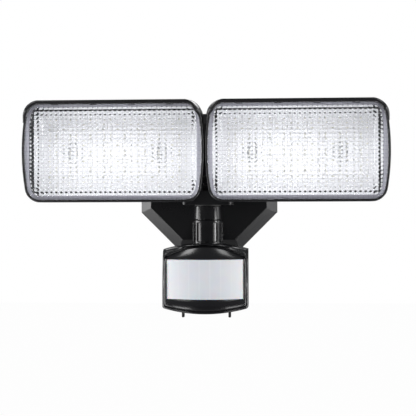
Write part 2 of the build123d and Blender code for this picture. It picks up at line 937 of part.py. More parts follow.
# ---- Sensor neck, its seal and nut ----
def sensor_neck():
    cone_top = block_bottom - neck_seal_thickness
    cone_height = cone_top - neck_bottom
    cone = Pos(0, neck_y, (cone_top + neck_bottom) / 2) * Cone(
        neck_bottom_radius, neck_top_radius, cone_height
    )
    neck = cone + rod_between("Z", 0, neck_y, 0, spigot_radius, cone_top, spigot_top)
    neck += rod_between("Z", 0, neck_y, 0, stud_radius, spigot_top, block_top + stud_length)
    neck += rod_between("Z", 0, neck_y, 0, neck_tube_radius, neck_bottom, neck_tube_bottom)
    below = neck_tube_bottom - cut_margin
    return neck - rod_between("Z", 0, neck_y, 0, neck_bore_radius, below, cone_top)


def neck_seal():
    top = block_bottom
    bottom = block_bottom - neck_seal_thickness
    ring = rod_between("Z", 0, neck_y, 0, spigot_radius + seat_play + neck_seal_width, bottom, top)
    return ring - rod_between(
        "Z", 0, neck_y, 0, spigot_radius + seat_play, bottom - cut_margin, top + cut_margin
    )


def neck_nut():
    top = block_top + neck_nut_height
    nut = hex_prism("Z", 0, neck_y, 0, neck_nut_across, block_top, top)
    return nut - rod_between(
        "Z", 0, neck_y, 0, stud_radius + running_play, block_top - cut_margin, top + cut_margin
    )


parts["sensor_neck"] = sensor_neck()
parts["neck_seal"] = neck_seal()
parts["neck_nut"] = neck_nut()


# ---- Lock ring and swivel post ----
def lock_ring():
    ring = rod_between("Z", 0, neck_y, 0, ring_radius, ring_bottom, ring_top)
    ring = chamfer(ring.faces().sort_by(Axis.Z)[-1].edges(), ring_chamfer)
    ring -= rod_between(
        "Z", 0, neck_y, 0, neck_tube_radius + running_play, ring_bottom + ring_lip, ring_top + cut_margin
    )
    ring -= rod_between("Z", 0, neck_y, 0, post_bore, ring_bottom - cut_margin, ring_top)
    floor = ring_radius - flute_depth
    for n in range(flute_count):
        for side in (-1, 1):
            angle = side * (flute_first_angle + n * flute_pitch_angle)
            pocket = block(
                (-flute_width / 2, flute_width / 2),
                (-floor - 2 * flute_depth, -floor),
                (ring_bottom + flute_margin, ring_top - flute_margin),
            )
            ring -= Pos(0, neck_y, 0) * Rot(0, 0, angle) * pocket
    return ring


def swivel_post():
    flange_top = neck_tube_bottom - thrust_play
    flange_bottom = ring_bottom + ring_lip + thrust_play
    post = rod_between("Z", 0, neck_y, 0, flange_radius, flange_bottom, flange_top)
    post += rod_between("Z", 0, neck_y, 0, stem_radius, stem_bottom, flange_bottom)
    half = post_tongue_width / 2
    tongue = block(
        (-half, half), (neck_y - stem_radius, neck_y + stem_radius), (sensor_tilt_z, stem_bottom)
    )
    tongue += rod("X", (0, neck_y, sensor_tilt_z), stem_radius, post_tongue_width)
    post += tongue
    return post - rod("X", (0, neck_y, sensor_tilt_z), pin_bore, post_tongue_width + 2 * cut_margin)


def cheek_reach():
    """Distance from the middle to the outer face of a clevis cheek."""
    return post_tongue_width / 2 + side_play + clevis_cheek


def tilt_pin():
    reach = cheek_reach()
    end = reach + tilt_pin_head
    pin = rod("X", (0, neck_y, sensor_tilt_z), tilt_pin_radius, 2 * reach)
    for side in (-1, 1):
        pin += rod_between(
            "X", 0, neck_y, sensor_tilt_z, tilt_pin_head_radius, side * reach, side * end
        )
    return pin


parts["lock_ring"] = lock_ring()
parts["swivel_post"] = swivel_post()
parts["sensor_tilt_pin"] = tilt_pin()


# ---- Sensor body ----
def bulge_y(radius, x):
    """Depth of an arc about the bulge's centre at a given x."""
    return bulge_centre_y - math.sqrt(radius**2 - x**2)


def fascia_plan(inset, back):
    """Plan outline of the fascia, bowed to the front."""
    half = sensor_half - inset
    radius = bulge_radius - inset
    side = bulge_y(radius, half)
    edges = [
        Line((half, back), (-half, back)),
        Line((-half, back), (-half, side)),
        ThreePointArc((-half, side), (0, bulge_centre_y - radius), (half, side)),
        Line((half, side), (half, back)),
    ]
    return make_face(edges)


def sensor_front_view(inset):
    """Front view of the sensor: crowned top, straight sides and curved chin."""
    half = sensor_half - inset
    top = sensor_top - inset
    low = sensor_bottom + inset
    edges = [
        Line((-half, low), (-half, top)),
        ThreePointArc((-half, top), (0, top + sensor_crown), (half, top)),
        Line((half, top), (half, low)),
        ThreePointArc((half, low), (0, low - sensor_chin), (-half, low)),
    ]
    return make_face(edges)


def fascia_solid(inset, back):
    """The closed form of the fascia, pulled in by inset."""
    low = sensor_bottom - 2 * sensor_chin
    high = sensor_top + 2 * sensor_crown
    outer = plan_slab(fascia_plan(inset, back), low, high)
    return outer & front_slab(sensor_front_view(inset), back, sensor_front - cut_margin)


def rear_solid(inset, front):
    """The closed form of the rear shell, pulled in by inset."""
    half = sensor_half - inset
    back_half = sensor_back_width / 2 - inset
    back = sensor_back - inset
    plan = polygon(
        [
            (-half, front),
            (-half, sensor_taper_start - inset / 2),
            (-back_half, back),
            (back_half, back),
            (half, sensor_taper_start - inset / 2),
            (half, front),
        ]
    )
    plan = fillet(plan.vertices().group_by(Axis.Y)[-1], sensor_edge_rounding)
    body = plan_slab(plan, sensor_bottom - 2 * sensor_chin, sensor_top + 2 * sensor_crown)
    body &= front_slab(sensor_front_view(inset), back, front)
    return body & side_slab(
        [
            (front, rear_top + slope_rise - inset),
            (sensor_slope_end, rear_top - inset),
            (sensor_back - rear_bevel_length, rear_top - inset),
            (back, rear_top - rear_bevel_depth - inset),
            (back, rear_bottom + inset),
            (sensor_slope_end, rear_bottom + inset),
            (front, rear_bottom - slope_drop + inset),
        ],
        sensor_width,
    )


def screw_places():
    """Centres of the four shell screws in the front view."""
    return [
        (side * shell_screw_x, z) for side in (-1, 1) for z in (shell_screw_top, shell_screw_bottom)
    ]


def board_post_places():
    """Centres of the four posts that carry the sensor board."""
    top = sensor_board_top - sensor_post_margin
    bottom = sensor_board_bottom + sensor_post_margin
    return [
        (side * x, z)
        for side in (-1, 1)
        for x, z in ((sensor_post_top_x, top), (sensor_post_bottom_x, bottom))
    ]


def post_slot():
    """Room in the yoke and the shell for the swivel post's tongue when the sensor is tilted."""
    near = post_tongue_width / 2 + side_play
    return block(
        (-near, near),
        (neck_y - post_slot_half, neck_y + post_slot_half),
        (yoke_bottom - cut_margin, yoke_top + cut_margin),
    )


def sensor_yoke():
    """A disc under the shell's round opening, with two cheeks that hold the tilt pin."""
    yoke = rod_between("Z", 0, neck_y, 0, sensor_recess_radius + yoke_rim, yoke_bottom, yoke_top)
    yoke &= rear_solid(sensor_wall, sensor_split)
    near = post_tongue_width / 2 + side_play
    for side in (-1, 1):
        yoke += block(
            (side * near, side * cheek_reach()),
            (neck_y - clevis_depth / 2, neck_y + clevis_depth / 2),
            (clevis_bottom, yoke_top),
        )
    yoke -= rod("X", (0, neck_y, sensor_tilt_z), pin_bore, 2 * (cheek_reach() + cut_margin))
    return yoke - post_slot()


def sensor_rear_shell():
    outer = rear_solid(0, sensor_split)
    shell = outer - rear_solid(sensor_wall, sensor_split - cut_margin)
    shell -= rod_between("Z", 0, neck_y, 0, sensor_recess_radius, yoke_top, rear_top + 2 * slope_rise)
    shell -= post_slot()
    for x, z in screw_places():
        boss = rod_between("Y", x, 0, z, shell_boss_radius, sensor_split, sensor_back)
        shell += boss & outer
        well = shell_screw_head_radius + seat_play
        shell -= rod_between("Y", x, 0, z, well, shell_screw_seat, sensor_back + cut_margin)
        hole = shell_screw_radius + seat_play
        shell -= rod_between("Y", x, 0, z, hole, sensor_split - cut_margin, sensor_back)
    for x, z in board_post_places():
        back = sensor_back - sensor_wall / 2
        shell += rod_between("Y", x, 0, z, sensor_post_radius, sensor_board_back, back)
        hole_end = sensor_board_back + small_screw_bite + blind_end
        shell -= rod_between(
            "Y", x, 0, z, small_screw_radius + running_play, sensor_board_back - cut_margin, hole_end
        )
    for side in (-1, 1):
        x = side * lever_x
        shell -= block(
            (x - lever_slot_half, x + lever_slot_half),
            (lever_y - lever_depth / 2 - side_play, lever_y + lever_depth / 2 + side_play),
            (rear_bottom - 2 * slope_drop, sensor_board_bottom - board_thickness),
        )
    return shell


def sensor_front_fascia():
    outer = fascia_solid(0, sensor_split)
    fascia = outer - fascia_solid(sensor_wall, sensor_split + cut_margin)
    boss_end = shell_screw_end - blind_end
    for x, z in screw_places():
        boss = rod_between("Y", x, 0, z, shell_boss_radius, sensor_split, boss_end)
        fascia += boss & outer
        fascia -= rod_between(
            "Y", x, 0, z, shell_screw_radius + running_play, sensor_split + cut_margin, shell_screw_end
        )
    half = window_width / 2
    opening = block((-half, half), (sensor_front - cut_margin, boss_end), (window_bottom, window_top))
    return fascia - opening


def bowed_sheet(outer_back, inner_back, grow_x, grow_z):
    """A sheet between two arcs about the bulge's centre, over the window grown by two margins."""
    half = window_width / 2 + grow_x
    outer = bulge_radius - outer_back
    inner = bulge_radius - inner_back
    outer_side = bulge_y(outer, half)
    inner_side = bulge_y(inner, half)
    edges = [
        ThreePointArc((-half, outer_side), (0, bulge_centre_y - outer), (half, outer_side)),
        Line((half, outer_side), (half, inner_side)),
        ThreePointArc((half, inner_side), (0, bulge_centre_y - inner), (-half, inner_side)),
        Line((-half, inner_side), (-half, outer_side)),
    ]
    return plan_slab(make_face(edges), window_bottom - grow_z, window_top + grow_z)


def sensor_lens():
    flange_front = sensor_wall + running_play
    flange_back = flange_front + sensor_lens_flange
    tray = bowed_sheet(lens_set_back, flange_back, -seat_play, -seat_play)
    tray += bowed_sheet(flange_front, flange_back, sensor_lens_lap_x, sensor_lens_lap_z)
    inner = -seat_play - sensor_lens_skin
    return tray - bowed_sheet(lens_set_back + sensor_lens_skin, flange_back + cut_margin, inner, inner)


def sensor_board():
    board = block(
        (-sensor_board_width / 2, sensor_board_width / 2),
        (sensor_board_back, sensor_board_front),
        (sensor_board_bottom, sensor_board_top),
    )
    before = sensor_board_front - cut_margin
    behind = sensor_board_back + cut_margin
    for x, z in board_post_places():
        board -= rod_between("Y", x, 0, z, small_screw_radius + seat_play, before, behind)
    return board


def sensor_board_screws():
    return Compound(
        [
            screw(
                x,
                z,
                small_screw_radius,
                small_screw_head_radius,
                small_screw_head_height,
                sensor_board_front,
                sensor_board_back + small_screw_bite,
                -1,
            )
            for x, z in board_post_places()
        ]
    )


def infrared_detector():
    """A metal can with a brim and a small rectangular window in its front."""
    front = sensor_board_front
    face = front - detector_height
    can = rod_between("Y", 0, 0, detector_z, detector_radius, front, face)
    can = fillet(can.faces().sort_by(Axis.Y)[0].edges(), detector_rounding)
    brim_radius = detector_radius + detector_brim_width
    can += rod_between("Y", 0, 0, detector_z, brim_radius, front, front - detector_brim_height)
    width, height = detector_window
    return can - block(
        (-width / 2, width / 2),
        (face - cut_margin, face + detector_window_depth),
        (detector_z - height / 2, detector_z + height / 2),
    )


def light_cell():
    front = sensor_board_front
    z = sensor_board_bottom + cell_radius + cell_margin
    cell = rod_between("Y", 0, 0, z, cell_radius, front, front - cell_height)
    return chamfer(cell.faces().sort_by(Axis.Y)[0].edges(), cell_chamfer)


def relay():
    width, depth, height = relay_size
    top = sensor_board_top - relay_margin
    box = block(
        (-width / 2, width / 2),
        (sensor_board_back, sensor_board_back + depth),
        (top - height, top),
    )
    return fillet(box.edges().filter_by(Axis.Y), relay_rounding)


def slide_switch(side):
    """The body of a slide switch, with a slot along which its lever travels."""
    x = side * lever_x
    body = block(
        (x - switch_width / 2, x + switch_width / 2),
        (sensor_board_front, sensor_board_front - switch_depth),
        (sensor_board_bottom, sensor_board_bottom + switch_height),
    )
    return body - block(
        (x - lever_slot_half, x + lever_slot_half),
        (lever_y - lever_depth / 2 - side_play, lever_y + lever_depth / 2 + side_play),
        (sensor_board_bottom - cut_margin, sensor_board_bottom + lever_socket + side_play),
    )


def slide_lever(side):
    x = side * lever_x
    blade = block(
        (x - lever_width / 2, x + lever_width / 2),
        (lever_y - lever_depth / 2, lever_y + lever_depth / 2),
        (lever_tip, sensor_board_bottom + lever_socket),
    )
    return chamfer(blade.faces().sort_by(Axis.Z)[0].edges(), lever_chamfer)


def shell_screws():
    return Compound(
        [
            screw(
                x,
                z,
                shell_screw_radius,
                shell_screw_head_radius,
                shell_screw_head_height,
                shell_screw_seat,
                shell_screw_end + blind_end,
                1,
            )
            for x, z in screw_places()
        ]
    )


parts["sensor_yoke"] = sensor_yoke()
parts["sensor_rear_shell"] = sensor_rear_shell()
parts["sensor_front_fascia"] = sensor_front_fascia()
parts["sensor_lens"] = sensor_lens()
parts["sensor_board"] = sensor_board()
parts["sensor_board_screws"] = sensor_board_screws()
parts["infrared_detector"] = infrared_detector()
parts["light_cell"] = light_cell()
parts["relay"] = relay()
parts["time_switch"] = slide_switch(-1)
parts["range_switch"] = slide_switch(1)
parts["time_lever"] = slide_lever(-1)
parts["range_lever"] = slide_lever(1)
parts["shell_screws"] = shell_screws()


# ---- One file for each piece ----
os.makedirs("parts", exist_ok=True)
for name, shape in parts.items():
    export_step(shape, "parts/" + name + ".step")
print(len(parts), "pieces")
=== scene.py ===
# %% [markdown]
# # A motion sensor security light
# The light is built twice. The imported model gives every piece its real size, its place and its
# joints. This script dresses it: it adds the surfaces, the finishes, the lamps and the camera.
# All lengths are in metres: X runs to the right, Y into the wall and Z up, and the origin is the
# wall face.

import json
import math
from functools import partial

import bmesh
import bpy
import numpy as np
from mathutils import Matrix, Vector


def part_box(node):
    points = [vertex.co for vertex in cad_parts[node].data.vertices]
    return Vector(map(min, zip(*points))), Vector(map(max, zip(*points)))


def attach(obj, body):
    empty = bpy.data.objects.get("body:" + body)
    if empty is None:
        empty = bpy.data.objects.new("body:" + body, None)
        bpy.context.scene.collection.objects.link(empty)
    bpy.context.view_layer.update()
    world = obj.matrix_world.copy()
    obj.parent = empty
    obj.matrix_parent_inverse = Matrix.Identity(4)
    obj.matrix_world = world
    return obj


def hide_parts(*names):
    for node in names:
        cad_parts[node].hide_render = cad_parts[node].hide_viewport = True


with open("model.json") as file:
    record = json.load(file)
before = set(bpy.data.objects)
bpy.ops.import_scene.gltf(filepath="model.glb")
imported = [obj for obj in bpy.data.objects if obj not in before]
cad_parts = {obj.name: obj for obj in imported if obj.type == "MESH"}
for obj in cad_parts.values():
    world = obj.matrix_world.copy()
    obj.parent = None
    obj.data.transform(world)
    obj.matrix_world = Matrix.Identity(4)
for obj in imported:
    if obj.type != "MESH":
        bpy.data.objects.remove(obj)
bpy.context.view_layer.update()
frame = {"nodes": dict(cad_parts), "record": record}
mm = 0.001

# %% [markdown]
# ## Camera
# The photograph was taken from straight ahead, level with the lower edges of the lamp heads and
# three degrees to the right. A long lens from less than a metre away gives the same slight growth
# of the near head. The focal length is written in pixels of the 416 pixel picture, because that
# is what can be measured in a photograph.

# %% Camera
film_width = 36.0
focal_pixels = 900.0
picture_pixels = 416
camera_azimuth = math.radians(3.0)
camera_roll = math.radians(0.17)
camera_distance = 829 * mm
camera_target = Vector((-2.4 * mm, 0.0, -23.4 * mm))
nearest_view = 10 * mm


def add_object(name, data):
    """A new object that is linked to the scene."""
    thing = bpy.data.objects.new(name, data)
    bpy.context.scene.collection.objects.link(thing)
    return thing


def make_camera():
    """A camera that looks level along (-sin azimuth, cos azimuth, 0) at the target."""
    data = bpy.data.cameras.new("photo_camera")
    data.sensor_width = film_width
    data.lens = film_width * focal_pixels / picture_pixels
    data.clip_start = nearest_view
    camera = add_object("photo_camera", data)
    back = Vector((math.sin(camera_azimuth), -math.cos(camera_azimuth), 0.0))
    camera.location = camera_target + back * camera_distance
    camera.rotation_euler = (math.radians(90), camera_roll, camera_azimuth)
    bpy.context.scene.camera = camera
    return camera


camera = make_camera()
print("camera at", [round(v, 3) for v in camera.location])

# %% [markdown]
# ## Mesh helpers
# Nearly every new piece is a grid of points: rows of a profile that is carried along a path. It
# could be modelled by hand, but an array keeps its formula and changes by one number, and the
# faces follow from its rows and columns.

# %% Grids of faces
def grid_faces(rows, columns, close_rows=False, close_columns=False):
    """Quads between neighbours of a grid stored row by row; either way it may close on itself."""
    i = np.arange(rows if close_rows else rows - 1)
    j = np.arange(columns if close_columns else columns - 1)
    i, j = (a.ravel() for a in np.meshgrid(i, j, indexing="ij"))
    down, right = (i + 1) % rows, (j + 1) % columns
    above, below = i * columns, down * columns
    return np.stack([above + j, above + right, below + right, below + j], 1)


def closed_grid(grid, capped=False):
    """Points and faces of a grid of loops: the last row meets the first, or both are capped."""
    rows, columns = grid.shape[:2]
    faces = grid_faces(rows, columns, not capped, True).tolist()
    if capped:
        faces.append(list(range(columns)))
        faces.append(list(range((rows - 1) * columns, rows * columns)))
    return grid.reshape(-1, 3), faces


def joined(*shells):
    """Several (points, faces) shells as one."""
    points, faces, start = [], [], 0
    for shell_points, shell_faces in shells:
        points.append(shell_points)
        faces += [[index + start for index in face] for face in shell_faces]
        start += len(shell_points)
    return np.concatenate(points), faces


def loop_at(loop, depth):
    """Points (x, depth, z) of a loop (x, z); the depth is one number, or one for each point."""
    return np.stack([loop[:, 0], np.broadcast_to(depth, len(loop)), loop[:, 1]], 1)


# %% Meshes and pieces
crease_angle = math.radians(32)
weld_distance = 0.001 * mm


def clean(mesh):
    """Welds points that coincide, drops faces without area and turns all faces outwards."""
    work = bmesh.new()
    work.from_mesh(mesh)
    bmesh.ops.remove_doubles(work, verts=work.verts, dist=weld_distance)
    bmesh.ops.dissolve_degenerate(work, dist=weld_distance, edges=work.edges)
    bmesh.ops.recalc_face_normals(work, faces=work.faces)
    work.to_mesh(mesh)
    work.free()
    mesh.polygons.foreach_set("use_smooth", np.ones(len(mesh.polygons), bool))
    mesh.set_sharp_from_angle(angle=crease_angle)


def make_piece(name, shell, material, body, replaced):
    """A mesh piece from a (points, faces) shell that rides on a body and replaces CAD nodes."""
    points, faces = shell
    mesh = bpy.data.meshes.new(name)
    mesh.from_pydata(points.tolist(), [], faces)
    clean(mesh)
    mesh.materials.append(material)
    piece = add_object(name, mesh)
    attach(piece, body)
    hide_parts(*replaced)
    print(name, len(mesh.vertices), "points")


def make_pair(name, shell, material, replaced):
    """A piece modelled on the right head, and its mirror image in x on the left one."""
    points, faces = shell
    for side, sign in (("right", 1.0), ("left", -1.0)):
        make_piece(f"{side}_{name}", (points * [sign, 1.0, 1.0], faces), material,
                   f"{side}_head", [f"{side}_{replaced}"])


# %% Rounded sections
def round_corners(section, steps=4):
    """A closed polygon of (u, v, radius) rows with arcs for corners.

    An arc starts and ends a tangent's length from its corner: radius / tan(half its angle).
    """
    section = np.asarray(section, float)
    corners, radii = section[:, :2], section[:, 2]
    count = len(corners)
    loop = []
    for n in range(count):
        corner = corners[n]
        before = corners[n - 1] - corner
        after = corners[(n + 1) % count] - corner
        before /= np.linalg.norm(before)
        after /= np.linalg.norm(after)
        half = math.acos(np.clip(before @ after, -1, 1)) / 2
        middle = before + after
        middle /= np.linalg.norm(middle)
        centre = corner + middle * radii[n] / math.sin(half)
        start = corner + before * radii[n] / math.tan(half) - centre
        end = corner + after * radii[n] / math.tan(half) - centre
        sweep = math.pi - 2 * half
        t = np.linspace(0, 1, steps + 1)[:, None]
        arc = (np.sin((1 - t) * sweep) * start + np.sin(t * sweep) * end) / math.sin(sweep)
        loop.append(centre + arc)
    return np.concatenate(loop)


print("mesh helpers ready")

# %% [markdown]
# ## Shader groups
# Moulded plastic, paint and metal share three effects: a fine grain, soft edges and lighter
# edges, which are partly rubbed wear and partly a painted edge highlight.
# They could be copied into every material. As node groups with named inputs they are built once,
# and a finish only sets its own values.

# %% Node helpers
def new_group(name, inputs, outputs):
    """A shader node group: inputs are (name, type, default), and outputs are (name, type)."""
    tree = bpy.data.node_groups.new(name, "ShaderNodeTree")
    for label, kind, default in inputs:
        socket = tree.interface.new_socket(label, in_out="INPUT", socket_type=kind)
        socket.default_value = default
    for label, kind in outputs:
        tree.interface.new_socket(label, in_out="OUTPUT", socket_type=kind)
    return tree, tree.nodes.new("NodeGroupInput"), tree.nodes.new("NodeGroupOutput")


def math_node(tree, operation, *values, clamp=False):
    """The output of a Math node whose inputs are numbers or the outputs of other nodes."""
    node = tree.nodes.new("ShaderNodeMath")
    node.operation = operation
    node.use_clamp = clamp
    for socket, value in zip(node.inputs, values):
        if isinstance(value, (int, float)):
            socket.default_value = value
        else:
            tree.links.new(value, socket)
    return node.outputs["Value"]


def object_axes(tree):
    """The X, Y and Z of the object coordinates, in metres."""
    place = tree.nodes.new("ShaderNodeTexCoord")
    split = tree.nodes.new("ShaderNodeSeparateXYZ")
    tree.links.new(place.outputs["Object"], split.inputs["Vector"])
    return split.outputs


# %% Group: fine grain
def make_grain_group():
    """Height and a grey mask from two scales of noise on object coordinates."""
    tree, given, out = new_group(
        "moulded_grain",
        [("Grain Scale", "NodeSocketFloat", 2500.0), ("Patch Scale", "NodeSocketFloat", 45.0)],
        [("Height", "NodeSocketFloat"), ("Patches", "NodeSocketFloat")],
    )
    place = tree.nodes.new("ShaderNodeTexCoord")
    for source, target, detail in (("Grain Scale", "Height", 2.0), ("Patch Scale", "Patches", 3.0)):
        noise = tree.nodes.new("ShaderNodeTexNoise")
        noise.inputs["Detail"].default_value = detail
        tree.links.new(place.outputs["Object"], noise.inputs["Vector"])
        tree.links.new(given.outputs[source], noise.inputs["Scale"])
        tree.links.new(noise.outputs["Fac"], out.inputs[target])
    return tree


grain_group = make_grain_group()
print("group:", grain_group.name)


# %% Group: soft and worn edges
def make_edge_group():
    """A rounded normal, and a mask that grows where the rounded normal leaves the true one."""
    tree, given, out = new_group(
        "soft_edges",
        [("Radius", "NodeSocketFloat", 0.5 * mm), ("Gain", "NodeSocketFloat", 6.0)],
        [("Normal", "NodeSocketVector"), ("Edge", "NodeSocketFloat")],
    )
    bevel = tree.nodes.new("ShaderNodeBevel")
    bevel.samples = 6
    geometry = tree.nodes.new("ShaderNodeNewGeometry")
    dot = tree.nodes.new("ShaderNodeVectorMath")
    dot.operation = "DOT_PRODUCT"
    tree.links.new(given.outputs["Radius"], bevel.inputs["Radius"])
    tree.links.new(bevel.outputs["Normal"], dot.inputs[0])
    tree.links.new(geometry.outputs["Normal"], dot.inputs[1])
    away = math_node(tree, "SUBTRACT", 1.0, dot.outputs["Value"])
    edge = math_node(tree, "MULTIPLY", away, given.outputs["Gain"], clamp=True)
    tree.links.new(bevel.outputs["Normal"], out.inputs["Normal"])
    tree.links.new(edge, out.inputs["Edge"])
    return tree


edge_group = make_edge_group()
print("group:", edge_group.name)

# %% [markdown]
# ## Finishes
# The black parts of the real light are the same plastic with more or less polish, beside painted
# metal, rubber, foam and plated steel. Every opaque finish is one Principled shader fed by the
# groups: the patches vary colour and roughness, the grain gives a bump, and the edge mask
# lightens the edges, partly as rubbed wear and partly as a painted edge highlight. One function
# makes them all, so that they differ by their numbers alone.

# %% Material helpers
def new_material(name):
    """A new material, its node tree and its Principled shader."""
    material = bpy.data.materials.new(name)
    material.use_nodes = True
    return material, material.node_tree, material.node_tree.nodes["Principled BSDF"]


def set_inputs(node, **values):
    """Sets a node's inputs by their names, with _ for a space."""
    for label, value in values.items():
        node.inputs[label.replace("_", " ")].default_value = value


def add_group(tree, group, **values):
    """A group node in a material, with some of its inputs set."""
    node = tree.nodes.new("ShaderNodeGroup")
    node.node_tree = group
    set_inputs(node, **values)
    return node


def add_bump(tree, height, normal, strength, distance):
    """The normal of a surface that is raised by a height socket over a normal socket."""
    node = tree.nodes.new("ShaderNodeBump")
    set_inputs(node, Strength=strength, Distance=distance)
    tree.links.new(height, node.inputs["Height"])
    tree.links.new(normal, node.inputs["Normal"])
    return node.outputs["Normal"]


def mix_colour(tree, factor, first, second):
    """A colour from first to second by a factor socket; each colour is a socket or a tuple."""
    mix = tree.nodes.new("ShaderNodeMix")
    mix.data_type = "RGBA"
    tree.links.new(factor, mix.inputs["Factor"])
    for socket, value in ((mix.inputs[6], first), (mix.inputs[7], second)):
        if isinstance(value, tuple):
            socket.default_value = (*value, 1.0)
        else:
            tree.links.new(value, socket)
    return mix.outputs[2]


def map_range(tree, value, low=0.0, high=1.0, start=0.0, end=1.0):
    """A value that goes from low to high while the given one goes from start to end."""
    node = tree.nodes.new("ShaderNodeMapRange")
    tree.links.new(value, node.inputs["Value"])
    set_inputs(node, From_Min=start, From_Max=end, To_Min=low, To_Max=high)
    return node.outputs["Result"]


def tint_over(material, factor, colour):
    """Mixes a colour over what a finish's Base Color already gets, by a factor socket."""
    tree = material.node_tree
    base = tree.nodes["Principled BSDF"].inputs["Base Color"]
    tree.links.new(mix_colour(tree, factor, base.links[0].from_socket, colour), base)


def show_mixed(tree, factor, first, second, output="Material Output"):
    """Shows the first shader where a factor socket is 0 and the second where it is 1."""
    mix = tree.nodes.new("ShaderNodeMixShader")
    tree.links.new(factor, mix.inputs["Fac"])
    tree.links.new(first, mix.inputs[1])
    tree.links.new(second, mix.inputs[2])
    tree.links.new(mix.outputs["Shader"], tree.nodes[output].inputs["Surface"])


# %% One function for opaque finishes
roughness_spread = 0.06
grain_height = 0.1 * mm
glow_depth = 2 * mm


def finish(name, colour, patch_colour, worn_and_highlight_colour, roughness, metallic=0.0, grain=2500.0,
           bump=0.04, edge_radius=0.5 * mm, subsurface=0.0):
    """A Principled finish: colour varies in patches, grain is a fine bump, and edges are lighter,
    partly as rubbed wear and partly as a painted highlight.
    """
    material, tree, shader = new_material(name)
    set_inputs(shader, Metallic=metallic, Subsurface_Weight=subsurface, Subsurface_Scale=glow_depth)
    edges = add_group(tree, edge_group, Radius=edge_radius)
    grains = add_group(tree, grain_group, Grain_Scale=grain)
    patches = grains.outputs["Patches"]
    plain = mix_colour(tree, patches, colour, patch_colour)
    # Lighter edges: partly rubbed wear, partly a painted edge highlight.
    worn_and_highlit = mix_colour(tree, edges.outputs["Edge"], plain, worn_and_highlight_colour)
    tree.links.new(worn_and_highlit, shader.inputs["Base Color"])
    rough = map_range(tree, patches, roughness - roughness_spread, roughness + roughness_spread)
    tree.links.new(rough, shader.inputs["Roughness"])
    grained = add_bump(tree, grains.outputs["Height"], edges.outputs["Normal"], bump, grain_height)
    tree.links.new(grained, shader.inputs["Normal"])
    return material


# %% Plastics, paint and rubber
finishes = {
    "frame_plastic": finish("gloss_black_frame", (0.006, 0.006, 0.007), (0.008, 0.008, 0.009),
                            (0.014, 0.014, 0.016), 0.24, bump=0.02),
    "base_plastic": finish("satin_black_base", (0.005, 0.005, 0.006), (0.007, 0.007, 0.008),
                           (0.014, 0.014, 0.016), 0.29, bump=0.06, edge_radius=0.9 * mm),
    "housing_paint": finish("textured_black_housing", (0.012, 0.012, 0.013), (0.018, 0.018, 0.019),
                            (0.03, 0.03, 0.032), 0.50, grain=1400.0, bump=0.25),
    "sensor_plastic": finish("gloss_black_sensor", (0.006, 0.006, 0.007), (0.008, 0.008, 0.009),
                             (0.016, 0.016, 0.018), 0.20, bump=0.02),
    "ring_plastic": finish("gloss_black_ring", (0.005, 0.005, 0.006), (0.007, 0.007, 0.008),
                           (0.014, 0.014, 0.016), 0.20, bump=0.02),
    "seal_rubber": finish("black_rubber", (0.012, 0.012, 0.012), (0.018, 0.018, 0.018),
                          (0.02, 0.02, 0.02), 0.62, grain=900.0, bump=0.15),
    "gasket_foam": finish("foam_gasket", (0.018, 0.018, 0.018), (0.03, 0.03, 0.03),
                          (0.03, 0.03, 0.03), 0.9, grain=500.0, bump=0.6),
    "seal_grey": finish("grey_silicone", (0.34, 0.34, 0.37), (0.42, 0.42, 0.45),
                        (0.45, 0.45, 0.48), 0.45, grain=800.0, bump=0.08),
    "reflector_white": finish("white_reflector", (0.84, 0.85, 0.86), (0.88, 0.88, 0.89),
                              (0.86, 0.86, 0.86), 0.38, grain=900.0, bump=0.03),
    "arm_metal": finish("black_arm_casting", (0.014, 0.014, 0.015), (0.02, 0.02, 0.021),
                        (0.05, 0.05, 0.052), 0.45, grain=1200.0, bump=0.2),
}
print(len(finishes), "plastics, paints and rubbers")

# %% Metals and electronics
finishes.update({
    "black_steel": finish("black_oxide_steel", (0.02, 0.02, 0.021), (0.03, 0.03, 0.03),
                          (0.12, 0.12, 0.12), 0.38, metallic=0.9, bump=0.06),
    "zinc_steel": finish("zinc_plated_steel", (0.52, 0.53, 0.54), (0.62, 0.63, 0.64),
                         (0.72, 0.72, 0.72), 0.30, metallic=1.0, grain=1800.0, bump=0.06),
    "circuit_board": finish("green_circuit_board", (0.01, 0.09, 0.035), (0.015, 0.12, 0.05),
                            (0.25, 0.22, 0.12), 0.35, grain=1200.0, bump=0.1),
    "led_board": finish("white_led_board", (0.74, 0.75, 0.74), (0.80, 0.80, 0.79),
                        (0.7, 0.68, 0.6), 0.4, grain=900.0, bump=0.05),
    "led_phosphor": finish("pale_phosphor", (0.88, 0.86, 0.70), (0.91, 0.89, 0.76),
                           (0.9, 0.88, 0.8), 0.5, grain=3000.0, bump=0.2),
    "component_black": finish("black_component", (0.015, 0.015, 0.016), (0.022, 0.022, 0.022),
                              (0.04, 0.04, 0.04), 0.4, bump=0.1),
    "component_blue": finish("blue_relay", (0.02, 0.06, 0.30), (0.03, 0.08, 0.36),
                             (0.1, 0.15, 0.4), 0.35, bump=0.05),
    "terminal_grey": finish("grey_terminal", (0.25, 0.26, 0.27), (0.3, 0.31, 0.32),
                            (0.4, 0.4, 0.4), 0.45, bump=0.08),
    "detector_can": finish("plated_can", (0.62, 0.60, 0.55), (0.7, 0.68, 0.62),
                           (0.75, 0.74, 0.7), 0.25, metallic=1.0, bump=0.03),
    "cell_red": finish("light_cell_resin", (0.45, 0.20, 0.08), (0.5, 0.26, 0.12),
                       (0.5, 0.3, 0.2), 0.25, bump=0.03),
})
print(len(finishes), "opaque finishes")
